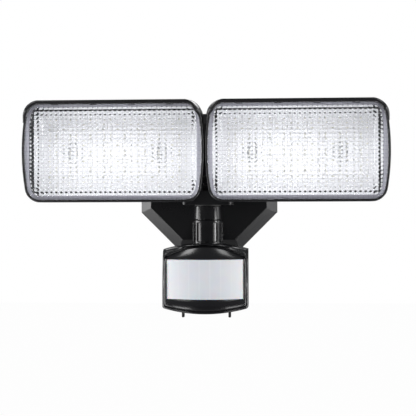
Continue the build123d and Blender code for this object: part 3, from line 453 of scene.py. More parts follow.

# %% [markdown]
# ## Materials of the lenses
# The lenses of the heads are clear. A mask finds the valleys where two cushions meet from the
# size of the cushions, and the plastic is tinted grey along them as painted shade. Shadow rays
# pass straight through, because light that bends through so many cushions would take far too
# many samples. The lens of the sensor is milky: light soaks in, and fine circular grooves catch
# it. They are too fine to model, so they are a bump, worked out from the distance to the middle
# of each segment. Its sides are tinted lighter as painted light.

# %% Group: valleys between the lens cushions
cell_width = 4.05 * mm
cell_height = 3.28 * mm
valley_start = 0.8
valley_gain = 5.0
whole_cells = 100
right_head_low, right_head_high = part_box("right_front_frame")
head_middle = (right_head_low + right_head_high) / 2


def make_valley_group():
    """A mask clamp(gain * (e - start)), with e from 0 in a cushion's middle to 1 in its valleys.

    The heads mirror each other, so x counts without its sign. Whole cells are added, because they
    leave the fraction alone and keep it clear of negative numbers.
    """
    tree, given, out = new_group(
        "cushion_valleys",
        [("Cell Width", "NodeSocketFloat", cell_width),
         ("Cell Height", "NodeSocketFloat", cell_height),
         ("Sharpness", "NodeSocketFloat", valley_gain)],
        [("Mask", "NodeSocketFloat")],
    )
    calc = partial(math_node, tree)
    axes = object_axes(tree)
    across = calc("SUBTRACT", calc("ABSOLUTE", axes["X"]), head_middle.x)
    up = calc("SUBTRACT", axes["Z"], head_middle.z)
    edges = []
    for value, size in ((across, "Cell Width"), (up, "Cell Height")):
        cells = calc("ADD", calc("DIVIDE", value, given.outputs[size]), whole_cells)
        from_middle = calc("ABSOLUTE", calc("SUBTRACT", calc("FRACT", cells), 0.5))
        edges.append(calc("MULTIPLY", from_middle, 2))
    past_start = calc("SUBTRACT", calc("MAXIMUM", *edges), valley_start)
    mask = calc("MULTIPLY", past_start, given.outputs["Sharpness"], clamp=True)
    tree.links.new(mask, out.inputs["Mask"])
    return tree


# %% Clear lens
polycarbonate_ior = 1.585
clear_tint = (0.985, 0.99, 1.0)
valley_shade_tint = (0.80, 0.80, 0.83)
shadow_tint = (0.97, 0.97, 0.98, 1.0)
lens_roughness = (0.01, 0.05)


def make_clear_lens():
    """Clear polycarbonate: transmissive, see-through to shadow rays, with painted shade tinting the
    valleys grey.
    """
    material, tree, shader = new_material("clear_polycarbonate")
    valleys = add_group(tree, make_valley_group())
    # Painted shade: the valleys between the cushions are tinted grey.
    tint = mix_colour(tree, valleys.outputs["Mask"], clear_tint, valley_shade_tint)
    tree.links.new(tint, shader.inputs["Base Color"])
    set_inputs(shader, Transmission_Weight=1.0, IOR=polycarbonate_ior)
    grains = add_group(tree, grain_group)
    rough = map_range(tree, grains.outputs["Patches"], *lens_roughness)
    tree.links.new(rough, shader.inputs["Roughness"])
    clear = tree.nodes.new("ShaderNodeBsdfTransparent")
    set_inputs(clear, Color=shadow_tint)
    path = tree.nodes.new("ShaderNodeLightPath")
    show_mixed(tree, path.outputs["Is Shadow Ray"], shader.outputs["BSDF"], clear.outputs["BSDF"])
    return material


clear_lens = make_clear_lens()
print("valleys every", round(cell_width / mm, 2), "x", round(cell_height / mm, 2), "mm")


# %% Group: segments of the sensor lens
segment_width = 8.6 * mm
row_height = 10.8 * mm
groove_pitch = 0.75 * mm
seam_start = 0.40
seam_gain = 9
# How far out the painted light on the sensor lens's sides reaches.
lit_side_reach = 30 * mm


def make_fresnel_group():
    """Three values of the sensor's lens, from x and z measured from the middle of each segment.

    Grooves is the fraction of distance / pitch. Seams is clamp(gain * (|x| / width - start)).
    The last output masks painted light on the sides: (x / side reach)^2 from the lens's middle.
    """
    tree, given, out = new_group(
        "fresnel_segments",
        [("Segment Width", "NodeSocketFloat", segment_width),
         ("Row Height", "NodeSocketFloat", row_height),
         ("Groove Pitch", "NodeSocketFloat", groove_pitch)],
        [(label, "NodeSocketFloat") for label in ("Grooves", "Seams", "Lit Sides")],
    )
    calc = partial(math_node, tree)
    axes = object_axes(tree)
    shares, squares = [], []
    for axis, size in (("X", "Segment Width"), ("Z", "Row Height")):
        cells = calc("ADD", calc("DIVIDE", axes[axis], given.outputs[size]), whole_cells + 0.5)
        shares.append(calc("SUBTRACT", calc("FRACT", cells), 0.5))
        span = calc("MULTIPLY", shares[-1], given.outputs[size])
        squares.append(calc("MULTIPLY", span, span))
    distance = calc("SQRT", calc("ADD", *squares))
    grooves = calc("FRACT", calc("DIVIDE", distance, given.outputs["Groove Pitch"]))
    tree.links.new(grooves, out.inputs["Grooves"])
    past_start = calc("SUBTRACT", calc("ABSOLUTE", shares[0]), seam_start)
    tree.links.new(calc("MULTIPLY", past_start, seam_gain, clamp=True), out.inputs["Seams"])
    across = calc("DIVIDE", axes["X"], lit_side_reach)
    tree.links.new(calc("MULTIPLY", across, across, clamp=True), out.inputs["Lit Sides"])
    return tree


# %% Milky sensor lens
seam_strength = 0.35
groove_height = 0.06 * mm
groove_strength = 0.35


def make_milky_lens():
    """White polyethylene that glows from inside, with grooves about each segment's centre, and
    painted light that tints its sides lighter.
    """
    material = finish("milky_sensor_lens", (0.58, 0.60, 0.65), (0.63, 0.64, 0.68),
                      (0.70, 0.71, 0.74), 0.42, grain=1500.0, bump=0.05, edge_radius=0.2 * mm,
                      subsurface=0.3)
    tree = material.node_tree
    segments = add_group(tree, make_fresnel_group())
    seam_share = map_range(tree, segments.outputs["Seams"], high=seam_strength)
    tint_over(material, seam_share, (0.74, 0.74, 0.76))
    # Painted light: the lens is tinted lighter towards its sides.
    tint_over(material, segments.outputs["Lit Sides"], (0.68, 0.68, 0.70))
    normal = tree.nodes["Principled BSDF"].inputs["Normal"]
    plain = normal.links[0].from_socket
    grooved = add_bump(tree, segments.outputs["Grooves"], plain, groove_strength, groove_height)
    tree.links.new(grooved, normal)
    return material


milky_lens = make_milky_lens()
print("grooves every", round(groove_pitch / mm, 2), "mm")


# %% Finishes on the CAD nodes
for part in frame["record"]["subparts"]:
    node = frame["nodes"][part["node"]]
    node.data.materials.clear()
    node.data.materials.append(finishes.get(part["material_slot"], milky_lens))
print("all", len(frame["nodes"]), "nodes have a finish")

# %% [markdown]
# ## Lamp heads: one outline for everything
# Seen from the front, a head is a rectangle whose short sides bow out and whose corners are
# round. The lens, the frame and the gasket all follow this outline, each pulled in by its own
# inset. Moving a point of the outline along its normal gives any inset exactly, because it is
# made of arcs and lines.

# %% Head outline
head_low, head_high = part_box("right_front_frame")
head_bow_radius = 191.0 * mm
head_corner_radius = 12.6 * mm
head_centre = np.array([(head_low.x + head_high.x) / 2, (head_low.z + head_high.z) / 2])
head_half = np.array([(head_high.x - head_low.x) / 2, (head_high.z - head_low.z) / 2])


def quarter_to_loop(points):
    """The first quarter of a loop, with both its ends, reflected into the other three."""
    back = points[::-1]
    parts = [points[:-1], back[:-1] * [-1, 1], points[:-1] * [-1, -1], back[:-1] * [1, -1]]
    return np.concatenate(parts)


def head_outline(side_steps=20, corner_steps=14, long_steps=48):
    """Points and outward normals, worked out for a quarter of the outline.

    A side arc goes from 0 to the tangent angle, a corner arc from there to 90 degrees, and a line
    along the long side to the middle.
    """
    corner_z = head_half[1] - head_corner_radius
    side_centre = head_half[0] - head_bow_radius
    corner_x = side_centre + math.sqrt((head_bow_radius - head_corner_radius) ** 2 - corner_z**2)
    tangent = math.atan2(corner_z, corner_x - side_centre)
    side = np.linspace(0, tangent, side_steps, endpoint=False)
    turn = np.linspace(tangent, math.pi / 2, corner_steps, endpoint=False)
    along = np.linspace(corner_x, 0, long_steps)
    angles = np.concatenate([side, turn, np.full(long_steps, math.pi / 2)])
    normals = np.stack([np.cos(angles), np.sin(angles)], 1)
    arc = normals[:side_steps] * head_bow_radius + [side_centre, 0]
    bend = np.stack([np.cos(turn), np.sin(turn)], 1) * head_corner_radius + [corner_x, corner_z]
    line = np.stack([along, np.full(long_steps, head_half[1])], 1)
    return quarter_to_loop(np.concatenate([arc, bend, line])), quarter_to_loop(normals)


outline, outline_normal = head_outline()


def head_sweep(section):
    """(inset, depth) rows carried round the outline: outline - inset * normal, at that depth."""
    section = np.asarray(section, float)
    flat = outline[None] - section[:, 0, None, None] * outline_normal[None] + head_centre
    depth = np.broadcast_to(section[:, 1, None], flat.shape[:2])
    return np.stack([flat[..., 0], depth, flat[..., 1]], -1)


print("outline:", len(outline), "points")

# %% [markdown]
# ## Front frame and hood
# The frame is a moulded ring with a rounded front edge and a ledge that carries the lens. One
# rounded section is carried round the outline, so all four runs match. The hood is a bent sheet
# over the frame's top, and its front edge slopes back down the sides. It could be cut from a box,
# but as rows of inset and depth along a path it gets its slope, its draft and its rounded edge in
# one grid. Small tabs under the top hold the lens.

# %% Front frame
frame_back = head_high.y
hood_front = head_low.y
frame_front = hood_front + 9.0 * mm
frame_wall = 1.8 * mm
ledge_inner = 4.6 * mm
ledge_front = frame_front + 4.0 * mm
ledge_back = ledge_front + 7.0 * mm
frame_inner_back = 2.0 * mm
top_relief = 0.12 * mm
hood_drop = 18.0 * mm


def frame_ring():
    """The ring's section, rounded at its front edge, carried round the outline."""
    section = round_corners([
        (0.0, frame_back, 0.4 * mm),
        (0.0, frame_front, 0.8 * mm),
        (frame_wall, frame_front, 0.5 * mm),
        (frame_wall, ledge_front, 0.1 * mm),
        (ledge_inner, ledge_front, 0.4 * mm),
        (ledge_inner, ledge_back, 0.3 * mm),
        (frame_inner_back, ledge_back, 0.1 * mm),
        (frame_inner_back, frame_back, 0.3 * mm),
    ])
    grid = head_sweep(section)
    under_hood = grid[..., 2] > head_high.z - hood_drop
    grid[..., 2] -= np.where(under_hood, top_relief, 0.0)
    return closed_grid(grid)


frame_shell = frame_ring()
print("frame ring:", len(frame_shell[0]), "points")


# %% Hood
hood_inset = 1.1 * mm
hood_corner_radius = 13.4 * mm
hood_wall = 1.7 * mm
visor_wall = 3.2 * mm
side_draft = 1.9 * mm
top_draft = 0.7 * mm
hood_slope_start = 8.0 * mm
hood_edge_radius = 0.8 * mm
hood_edge_steps = 9
outer_bend = frame_front + 0.3 * mm
inner_bend = frame_front + 0.1 * mm
inner_foot = frame_front + 0.35 * mm
bend_draft_share = 0.35


def hood_path(corner_steps=18, long_steps=60, side_steps=14):
    """Points and outward normals, from the lower end on the right over the top to the left."""
    half = head_half[0] - hood_inset
    centre = np.array([half - hood_corner_radius, head_half[1] - hood_corner_radius])
    side_z = np.linspace(head_half[1] - hood_drop, centre[1], side_steps, endpoint=False)
    angles = np.linspace(0, math.pi / 2, corner_steps, endpoint=False)
    along = np.linspace(centre[0], 0, long_steps)
    side = np.stack([np.full(side_steps, half), side_z], 1)
    bend = centre + hood_corner_radius * np.stack([np.cos(angles), np.sin(angles)], 1)
    line = np.stack([along, np.full(long_steps, head_half[1])], 1)
    turn = np.concatenate([np.zeros(side_steps), angles, np.full(long_steps, math.pi / 2)])
    points = np.concatenate([side, bend, line])
    normals = np.stack([np.cos(turn), np.sin(turn)], 1)
    return [np.concatenate([part, part[-2::-1] * [-1, 1]]) for part in (points, normals)]


def hood_shell():
    """A sheet along the path: point = path - inset * normal, at a depth.

    Reach goes from 1 along the top to 0 at the lower ends. With it the front edge slopes back,
    the wall thins and the visor leans in less. Half a turn of sine and cosine rounds the edge.
    """
    points, normals = hood_path()
    below_top = head_half[1] - points[:, 1]
    reach = 1 - np.clip((below_top - hood_slope_start) / (hood_drop - hood_slope_start), 0, 1)
    front = frame_front - reach * (frame_front - hood_front)
    wall = hood_wall + reach * (visor_wall - hood_wall)
    draft = (side_draft * np.abs(normals[:, 0]) + top_draft * np.abs(normals[:, 1])) * reach
    ones = np.ones(len(points))
    rows = [(0 * ones, frame_back * ones), (0 * ones, outer_bend * ones)]
    for angle in np.linspace(0, math.pi, hood_edge_steps):
        across = (1 - math.cos(angle)) / 2 * wall
        rows.append((draft + across, front + hood_edge_radius * (1 - math.sin(angle))))
    rows.append((wall + bend_draft_share * draft, inner_bend * ones))
    rows += [(hood_wall * ones, inner_foot * ones), (hood_wall * ones, frame_back * ones)]
    inset, depth = np.stack(rows, -1)
    flat = points[:, None] - inset[..., None] * normals[:, None] + head_centre
    return closed_grid(np.stack([flat[..., 0], depth, flat[..., 1]], -1), capped=True)


hood = hood_shell()
print("hood:", len(hood[0]), "points")


# %% Snap tabs that hold the lens
tab_count = 4
tab_pitch = 31.5 * mm
tab_width = 5.8 * mm
tab_drop = 2.3 * mm
tab_root_sunk = 0.3 * mm
tab_root_depth = 0.5 * mm
tab_tip_wall = 0.5 * mm
tab_lens_gap = 0.02 * mm
tab_ends = np.array([-0.5, -0.46, 0.46, 0.5])
tab_end_scale = np.array([0.86, 1.0, 1.0, 0.86])
sill_drop = 1.5 * mm
sill_half = 60.0 * mm
lens_front = frame_front + 0.8 * mm


def snap_tab(x, width, drop):
    """A wedge under the frame's top: a rounded section carried along x, smaller at both ends."""
    root = head_half[1] - frame_wall + tab_root_sunk
    section = round_corners([
        (root, frame_front + tab_root_depth, 0.05 * mm),
        (root - drop, lens_front - tab_tip_wall, 0.2 * mm),
        (root - drop, lens_front - tab_lens_gap, 0.1 * mm),
        (root, lens_front - tab_lens_gap, 0.05 * mm),
    ], 3)
    middle = section.mean(0)
    sections = middle + (section[None] - middle) * tab_end_scale[:, None, None]
    across = np.broadcast_to((head_centre[0] + x + tab_ends * width)[:, None], sections.shape[:2])
    up = head_centre[1] + sections[..., 0]
    return closed_grid(np.stack([across, sections[..., 1], up], -1), capped=True)


tab_places = (np.arange(tab_count) - (tab_count - 1) / 2) * tab_pitch
tabs = [snap_tab(x, tab_width, tab_drop) for x in tab_places]
tabs.append(snap_tab(0.0, 2 * sill_half, sill_drop))
front_frame = joined(frame_shell, hood, *tabs)
make_pair("frame_and_hood", front_frame, finishes["frame_plastic"], "front_frame")

# %% [markdown]
# ## Prismatic lenses
# The lens is clear plastic with a smooth front. Its back is a field of small cushions that spread
# the light. A cushion is the product of two roofs with rounded ridges, so its slope dies out
# along the valleys. Near the frame a steep slope looks past the white reflector at the dark wall,
# which gives the dark dots. A bump in the material would keep the surface flat and give no such
# view, so the cushions are real shapes.

# %% Lens
lens_inset = 2.0 * mm
lens_back = ledge_front - 1.0 * mm
lens_edge_radius = 0.8 * mm
cell_columns = 34
cell_rows = 22
cell_steps = 6
cushion_height = 0.98 * mm
cushion_power = 1.25
cushion_softness = 0.12
field_inset = 5.0 * mm
field_fade = 0.5 * mm
field_top_gain = 0.6 * mm
border_shares = np.array([0.35, 0.7, 0.86, 0.96, 1.0])


def lens_half_width(z, inset):
    """Half the outline's width at a height z above the head's centre, pulled in by an inset.

    It is centre + sqrt(r^2 - z^2) of the side arc, or of the corner arc beyond the tangent point.
    """
    bow = head_bow_radius - inset
    corner = head_corner_radius - inset
    half = head_half - inset
    corner_z = half[1] - corner
    centre = half[0] - bow
    corner_x = centre + math.sqrt((bow - corner) ** 2 - corner_z**2)
    high = np.abs(z)
    by_side = centre + np.sqrt(np.maximum(bow**2 - z**2, 0))
    by_corner = corner_x + np.sqrt(np.maximum(corner**2 - (high - corner_z) ** 2, 0))
    tangent_z = bow * corner_z / (bow - corner)
    return np.where(high < tangent_z, by_side, by_corner)


def cell_lines(count, size, half):
    """Even grid lines over count cells, with border lines out to the lens's edge at half."""
    field = np.linspace(-count * size / 2, count * size / 2, count * cell_steps + 1)
    border = field[-1] + (half - field[-1]) * border_shares
    return np.concatenate([-border[::-1], field, border])


def cushion(u):
    """Height across a cushion for u from -1 to 1: (1 - (u^2 + s^2)^(p/2)) / (1 - s^p).

    That is a roof of power p whose ridge is rounded by the softness s.
    """
    top = 1 - cushion_softness**cushion_power
    height = 1 - (u**2 + cushion_softness**2) ** (cushion_power / 2)
    return np.clip(height, 0, None) / top


def prism_lens():
    """Front and back sheets on one grid, joined by a wall.

    The front is flat, and where the edge is nearer than r it is depth + r - sqrt(r^2 - bite^2).
    The back is depth + height * cushion(u) * cushion(v), which fades out near the frame.
    """
    half = head_half - lens_inset
    x_lines = cell_lines(cell_columns, cell_width, half[0])
    z_lines = cell_lines(cell_rows, cell_height, half[1])
    z, x = np.meshgrid(z_lines, x_lines, indexing="ij")
    reach = lens_half_width(z, lens_inset)
    x = np.clip(x, -reach, reach)
    u = 2 * np.mod(x / cell_width + cell_columns / 2, 1) - 1
    v = 2 * np.mod(z / cell_height + cell_rows / 2, 1) - 1
    inside_x = lens_half_width(z, field_inset) - np.abs(x)
    inside_z = head_half[1] - field_inset + field_top_gain - np.abs(z)
    in_field = np.clip(np.minimum(inside_x, inside_z) / field_fade, 0, 1)
    in_field *= np.abs(x) < cell_columns * cell_width / 2
    in_field *= np.abs(z) < cell_rows * cell_height / 2
    back = lens_back + cushion_height * cushion(u) * cushion(v) * in_field
    to_edge = np.minimum(reach - np.abs(x), half[1] - np.abs(z))
    bite = np.clip(lens_edge_radius - to_edge, 0, lens_edge_radius)
    front = lens_front + lens_edge_radius - np.sqrt(lens_edge_radius**2 - bite**2)
    middle = [head_centre[0], 0.0, head_centre[1]]
    rows, columns = x.shape
    sheets = [np.stack([x, y, z], -1).reshape(-1, 3) + middle for y in (front, back)]
    faces = grid_faces(rows, columns)
    index = np.arange(rows * columns).reshape(rows, columns)
    rim = np.concatenate([index[0, :-1], index[:-1, -1], index[-1, :0:-1], index[:0:-1, 0]])
    after = np.roll(rim, -1)
    wall = np.stack([rim, after, after + rows * columns, rim + rows * columns], 1)
    return np.concatenate(sheets), np.concatenate([faces, faces + rows * columns, wall]).tolist()


make_pair("prism_lens", prism_lens(), clear_lens, "lens")

# %% [markdown]
# ## Lens gasket
# A grey silicone ring seals the lens on the frame's ledge and shows through its clear border. A
# swept section would be equally wide all round. Here the outer side follows the outline and the
# inner side the straight edges of the cushion field, so rows blend from one loop to the other.

# %% Lens gasket
gasket_inset = 2.05 * mm
gasket_open_x = 68.9 * mm
gasket_open_z = 36.2 * mm
gasket_rows = (
    (0.0, ledge_front),
    (0.0, lens_back + 0.05 * mm),
    (0.5, lens_back + 0.02 * mm),
    (0.9, lens_back + 0.02 * mm),
    (1.0, lens_back + 0.3 * mm),
    (1.0, ledge_front),
)
# Heights over which painted shade darkens the gasket's lower run.
rim_shade_start = head_low.z + 7.4 * mm
rim_shade_end = head_low.z + 3.4 * mm


def lens_gasket_shell():
    """A flat ring under the lens's rim: outer + (inner - outer) * share, at a depth for each share.

    The outer loop follows the outline, and the inner one is clipped to a rectangle by the cushions.
    """
    outer = outline - gasket_inset * outline_normal
    inner = outline - ledge_inner * outline_normal
    inner = np.clip(inner, [-gasket_open_x, -gasket_open_z], [gasket_open_x, gasket_open_z])
    rows = [loop_at(outer + (inner - outer) * share + head_centre, depth)
            for share, depth in gasket_rows]
    return closed_grid(np.stack(rows))


def make_rim_grey():
    """Grey silicone with painted shade along its lower run."""
    material = finish("grey_rim_silicone", (0.29, 0.29, 0.325), (0.36, 0.36, 0.40),
                      (0.38, 0.38, 0.42), 0.45, grain=800.0, bump=0.08)
    tree = material.node_tree
    height = object_axes(tree)["Z"]
    painted_shade_share = map_range(tree, height, start=rim_shade_start, end=rim_shade_end)
    # Painted shade: the lower run of the gasket is tinted dark grey.
    tint_over(material, painted_shade_share, (0.14, 0.14, 0.16))
    return material


rim_grey = make_rim_grey()
make_pair("rim_gasket", lens_gasket_shell(), rim_grey, "lens_gasket")

# %% [markdown]
# ## Fluted lock ring
# The ring under the neck is turned by hand, so its rim carries long pockets with rounded ends.
# They could be cut with a modifier each, but one grid of radii does it all: the radius drops
# inside each pocket, and at both ends the edge is rounded.

# %% Lock ring
ring_low, ring_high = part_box("lock_ring")
neck_y = (ring_low.y + ring_high.y) / 2
ring_radius = (ring_high.x - ring_low.x) / 2
pocket_pairs = 6
pocket_first_angle = 34.0
pocket_pitch_angle = 24.0
pocket_half_width = 1.9 * mm
pocket_margin = 2.5 * mm
pocket_depth = 1.25 * mm
pocket_edge = 0.28 * mm
pocket_corner = 1.1 * mm
ring_rounding = 0.9 * mm
ring_bore = 9.0 * mm
ring_steps = 720
ring_height_steps = 64
ring_rounding_steps = 6


def smooth_step(value):
    """0 below 0, 1 above 1 and a smooth S between."""
    value = np.clip(value, 0, 1)
    return value * value * (3 - 2 * value)


def pocket_mask(angles, z_gap):
    """1 inside the pockets and 0 outside: a smooth step of the distance to a rounded rectangle."""
    mask = np.zeros((len(z_gap), len(angles)))
    for n in range(pocket_pairs):
        for sign in (-1, 1):
            centre = math.radians(sign * (pocket_first_angle + n * pocket_pitch_angle))
            turn = np.mod(angles - centre + math.pi, 2 * math.pi) - math.pi
            x_gap = np.abs(turn * ring_radius)[None, :] - (pocket_half_width - pocket_corner)
            outside = np.hypot(np.maximum(x_gap, 0), np.maximum(z_gap, 0)) - pocket_corner
            outside += np.minimum(np.maximum(x_gap, z_gap), 0)
            mask = np.maximum(mask, smooth_step(0.5 - outside / pocket_edge / 2))
    return mask


def fluted_ring():
    """A turned ring of radius R - rounding at both ends - pocket depth * mask(angle, height)."""
    angles = np.radians(np.linspace(-180, 180, ring_steps, endpoint=False))
    ends = np.linspace(0, math.pi / 2, ring_rounding_steps)[:-1]
    rise = ring_rounding * (1 - np.cos(ends))
    pull = ring_rounding * (1 - np.sin(ends))
    ring_height = ring_high.z - ring_low.z
    inner = np.linspace(ring_rounding, ring_height - ring_rounding, ring_height_steps)
    heights = np.concatenate([rise, inner, ring_height - rise[::-1]])
    pulls = np.concatenate([pull, np.zeros(len(inner)), pull[::-1]])
    middle = ring_height / 2
    z_gap = np.abs(heights - middle)[:, None] - (middle - pocket_margin - pocket_corner)
    radius = ring_radius - pulls[:, None] - pocket_depth * pocket_mask(angles, z_gap)

    def turned(radius, z):
        x, y = np.sin(angles) * radius, neck_y - np.cos(angles) * radius
        return np.stack([x, y, np.broadcast_to(z, x.shape)], -1)

    outer = turned(radius, ring_low.z + heights[:, None])
    rows = [turned(ring_bore, ring_low.z), *outer, turned(ring_bore, ring_high.z)]
    return closed_grid(np.stack(rows))


make_piece("fluted_lock_ring", fluted_ring(), finishes["ring_plastic"], "lock_ring",
           ["lock_ring"])

# %% [markdown]
# ## Sensor fascia
# The front of the sensor is one glossy moulding. A lip follows its outline, a groove runs inside
# the lip, and a crowned band arches over the window, leaning back towards its top. The corners
# above the band fall back, so they catch the light. All of these run round the window, so the
# fascia is one grid without seams: every row is a loop, and rows blend from the outline to the
# window's edge.

# %% Fascia outline
fascia_low, fascia_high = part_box("sensor_front_fascia")
fascia_half = (fascia_high.x - fascia_low.x) / 2
fascia_crown = 5.2 * mm
fascia_chin = 4.1 * mm
fascia_corner = 1.6 * mm
fascia_bulge = 9.0 * mm
fascia_top = fascia_high.z - fascia_crown
fascia_bottom = fascia_low.z + fascia_chin
window_half = 31.5 * mm
window_top = fascia_top - 7.5 * mm
window_bottom = window_top - 32.5 * mm
window_corner = 0.8 * mm
window_rise = 0.01 * mm
bulge_radius = (fascia_half**2 + fascia_bulge**2) / (2 * fascia_bulge)
loop_long_steps = 64
loop_side_steps = 40


def bulge(x):
    """Depth of the fascia's front: a circular arc in plan, furthest forward in the middle."""
    return fascia_low.y + bulge_radius - np.sqrt(bulge_radius**2 - x**2)


def arch(x, rise, half):
    """Height of a circular arch above its springing: sqrt(R^2 - x^2) - (R - rise)."""
    radius = (half**2 + rise**2) / (2 * rise)
    return np.sqrt(np.maximum(radius**2 - x**2, 0)) - (radius - rise)


def front_loop(half, top, rise, bottom, sag, corner):
    """A loop (x, z) with an arched top, straight sides, a sagging bottom and rounded corners.

    The top is top + arch(x) - drop and the bottom is bottom - arch(x) + drop. The drop is 0 but
    within a corner's radius of the sides, where it follows a quarter circle.
    """
    x = -half * np.cos(np.linspace(0, math.pi, loop_long_steps, endpoint=False))
    over = np.maximum(np.abs(x) - (half - corner), 0)
    drop = corner - np.sqrt(np.maximum(corner**2 - over**2, 0))
    top_z = top + arch(x, rise, half) - drop
    z = np.linspace(top - corner, bottom + corner, loop_side_steps, endpoint=False)
    low_z = bottom - arch(x, sag, half) + drop
    right = np.stack([np.full(len(z), half), z], 1)
    left = np.stack([np.full(len(z), -half), (top + bottom) - z], 1)
    return np.concatenate([np.stack([x, top_z], 1), right, np.stack([-x, low_z], 1), left])


print("fascia half width:", round(fascia_half / mm, 1), "mm")


# %% Fascia
fascia_wall = 2.2 * mm
fascia_edge_radius = 0.9 * mm
fascia_edge_steps = 5
lip_start = 1.0 * mm
lip_width = 1.0 * mm
lip_shares = (0.35, 0.7, 0.93)
groove_depth = 1.3 * mm
groove_lip_share = 0.03
groove_lip_depth = groove_depth * 0.7
groove_band_shares = (0.03, 0.06, 0.10)
band_inset = 1.7 * mm
band_corner = 1.0 * mm
band_rise = 10.6 * mm
band_top_side = window_top + 1.2 * mm
band_sunk = 0.1 * mm
band_crown = 1.1 * mm
band_lean = 3.0 * mm
band_shares = np.linspace(0.16, 0.94, 14)
window_edge_rows = ((0.975, 0.25 * mm), (1.0, 0.8 * mm))
window_depth = 2.0 * mm
inside_depth = 2.6 * mm
corner_fall = 7.0 * mm
fall_inset = 0.5 * mm
fall_start = 1.0 * mm
fall_run = 6.0 * mm


def fascia_shell():
    """Rows run from the wall's back round lip, groove, band and window to the inside.

    A row is first + (second - first) * share of two loops, at the depth bulge(x) + back_by.
    """
    rows = []

    def outline_at(inset):
        return front_loop(fascia_half - inset, fascia_top - inset, fascia_crown,
                          fascia_bottom + inset, fascia_chin, fascia_corner)

    def add(loop, back_by):
        rows.append(loop_at(loop, bulge(loop[:, 0]) + back_by))

    outer, lip, inside = outline_at(0.0), outline_at(lip_width), outline_at(fascia_wall)
    band = front_loop(fascia_half - band_inset, band_top_side, band_rise,
                      fascia_bottom + band_inset, fascia_chin, band_corner)
    window = front_loop(window_half, window_top, window_rise,
                        window_bottom, window_rise, window_corner)
    above_band = outline_at(fall_inset)[:, 1] - band[:, 1]
    to_window = band - window
    upright = to_window[:, 1] / np.hypot(to_window[:, 0], to_window[:, 1])
    lean = band_lean * smooth_step(upright)
    fall = corner_fall * smooth_step((above_band - fall_start) / fall_run) + lean
    rows.append(loop_at(outer, fascia_high.y))
    add(outer, lip_start + fall)
    for angle in np.linspace(0, math.pi / 2, fascia_edge_steps)[1:]:
        add(outline_at(fascia_edge_radius * (1 - math.cos(angle))),
            fascia_edge_radius * (1 - math.sin(angle)) + fall)
    for share in lip_shares:
        add(lip + (band - lip) * share, (1 - share) * fall)
    add(band + (lip - band) * groove_lip_share, groove_lip_depth + lean)
    add(band, groove_depth + lean)
    for share in groove_band_shares:
        climb = groove_depth * (1 - math.sqrt(share / groove_band_shares[-1]))
        add(band + (window - band) * share, climb + band_sunk + lean * (1 - share))
    for share in band_shares:
        crown = band_crown * (1 - (2 * share - 1) ** 2) / 2
        add(band + (window - band) * share, band_sunk - crown + lean * (1 - share))
    for share, back_by in window_edge_rows:
        add(band + (window - band) * share, back_by)
    add(window, window_depth)
    add((window + inside) / 2, (window_depth + inside_depth) / 2)
    add(inside, inside_depth)
    rows.append(loop_at(inside, fascia_high.y))
    return closed_grid(np.stack(rows))


make_piece("sensor_fascia", fascia_shell(), finishes["sensor_plastic"], "sensor",
           ["sensor_front_fascia"])

# %% [markdown]
# ## Stage and light
# The object hangs in front of a pale ground. The floor and the world turn white for the camera
# alone, so the background adds no light to the black plastic. On black plastic a lamp matters
# less for its light than for its mirror image. Two lamps above the camera and two below it give
# the lenses an even light. The lamps at both sides and below stand where the bevels of the base,
# the neck and the rim of the sensor mirror them. The last one lights the back.

# %% Stage
floor_height = -0.85
floor_half = 7.0
floor_grey = (0.30, 0.30, 0.30, 1.0)
floor_roughness = 0.9
floor_glow = 0.985


def make_floor():
    """A matt grey floor that shows the camera mostly white and keeps some shadow."""
    mesh = bpy.data.meshes.new("floor")
    signs = ((-1, -1), (1, -1), (1, 1), (-1, 1))
    corners = [(x * floor_half, y * floor_half, floor_height) for x, y in signs]
    mesh.from_pydata(corners, [], [(0, 1, 2, 3)])
    material, tree, shader = new_material("pale_floor")
    set_inputs(shader, Base_Color=floor_grey, Roughness=floor_roughness)
    glow = tree.nodes.new("ShaderNodeEmission")
    path = tree.nodes.new("ShaderNodeLightPath")
    share = math_node(tree, "MULTIPLY", path.outputs["Is Camera Ray"], floor_glow)
    show_mixed(tree, share, shader.outputs["BSDF"], glow.outputs["Emission"])
    mesh.materials.append(material)
    floor = add_object("floor", mesh)


make_floor()
print("floor at", floor_height, "m")


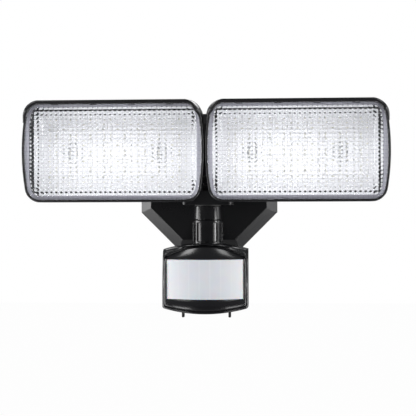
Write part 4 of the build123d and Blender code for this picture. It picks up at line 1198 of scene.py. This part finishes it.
# %% World
room_colour = (0.95, 0.97, 1.0, 1.0)
room_strength = 0.16


def make_world():
    """White for camera rays, and a dim, slightly blue room for every other ray."""
    world = bpy.data.worlds.new("studio")
    bpy.context.scene.world = world
    world.use_nodes = True
    tree = world.node_tree
    room = tree.nodes["Background"]
    set_inputs(room, Color=room_colour, Strength=room_strength)
    white = tree.nodes.new("ShaderNodeBackground")
    set_inputs(white, Color=(1.0, 1.0, 1.0, 1.0))
    path = tree.nodes.new("ShaderNodeLightPath")
    show_mixed(tree, path.outputs["Is Camera Ray"], room.outputs["Background"],
               white.outputs["Background"], "World Output")


make_world()
print("room strength:", room_strength)


# %% Lamps
lamp_aim = Vector((0.0, -0.06, 0.0))
# Each lamp: name, place, width, height and watts.
lamps = (
    ("key_upper_left", (-0.92, -1.45, 1.05), 0.56, 0.58, 9.3),
    ("fill_upper_right", (0.80, -1.40, 1.0), 0.45, 0.50, 5.4),
    ("low_front_left", (-0.85, -1.2, -0.75), 0.6, 0.4, 6.4),
    ("low_front_right", (0.9, -1.15, -0.75), 0.6, 0.4, 4.8),
    ("side_left", (-1.40, -0.24, -0.02), 0.95, 0.9, 18.0),
    ("strip_right", (1.35, -0.55, -0.05), 0.32, 0.9, 12.0),
    ("side_right", (1.5, 0.05, 0.05), 0.4, 0.6, 2.1),
    ("low_left", (-1.0, -0.25, -0.8), 0.6, 0.6, 8.5),
    ("low_right", (1.1, -0.2, -0.8), 0.5, 0.5, 7.5),
    ("back_top", (0.0, 1.1, 0.9), 1.4, 0.8, 11.0),
)


def make_lamp(name, place, width, height, power):
    """A rectangular area lamp that is turned towards the object's middle."""
    data = bpy.data.lights.new(name, "AREA")
    data.shape = "RECTANGLE"
    data.size = width
    data.size_y = height
    data.energy = power
    lamp = add_object(name, data)
    lamp.location = place
    lamp.rotation_euler = (lamp_aim - Vector(place)).to_track_quat("-Z", "Y").to_euler()


for lamp in lamps:
    make_lamp(*lamp)
bpy.context.scene.view_settings.view_transform = "Standard"
print("lamps:", len(lamps))
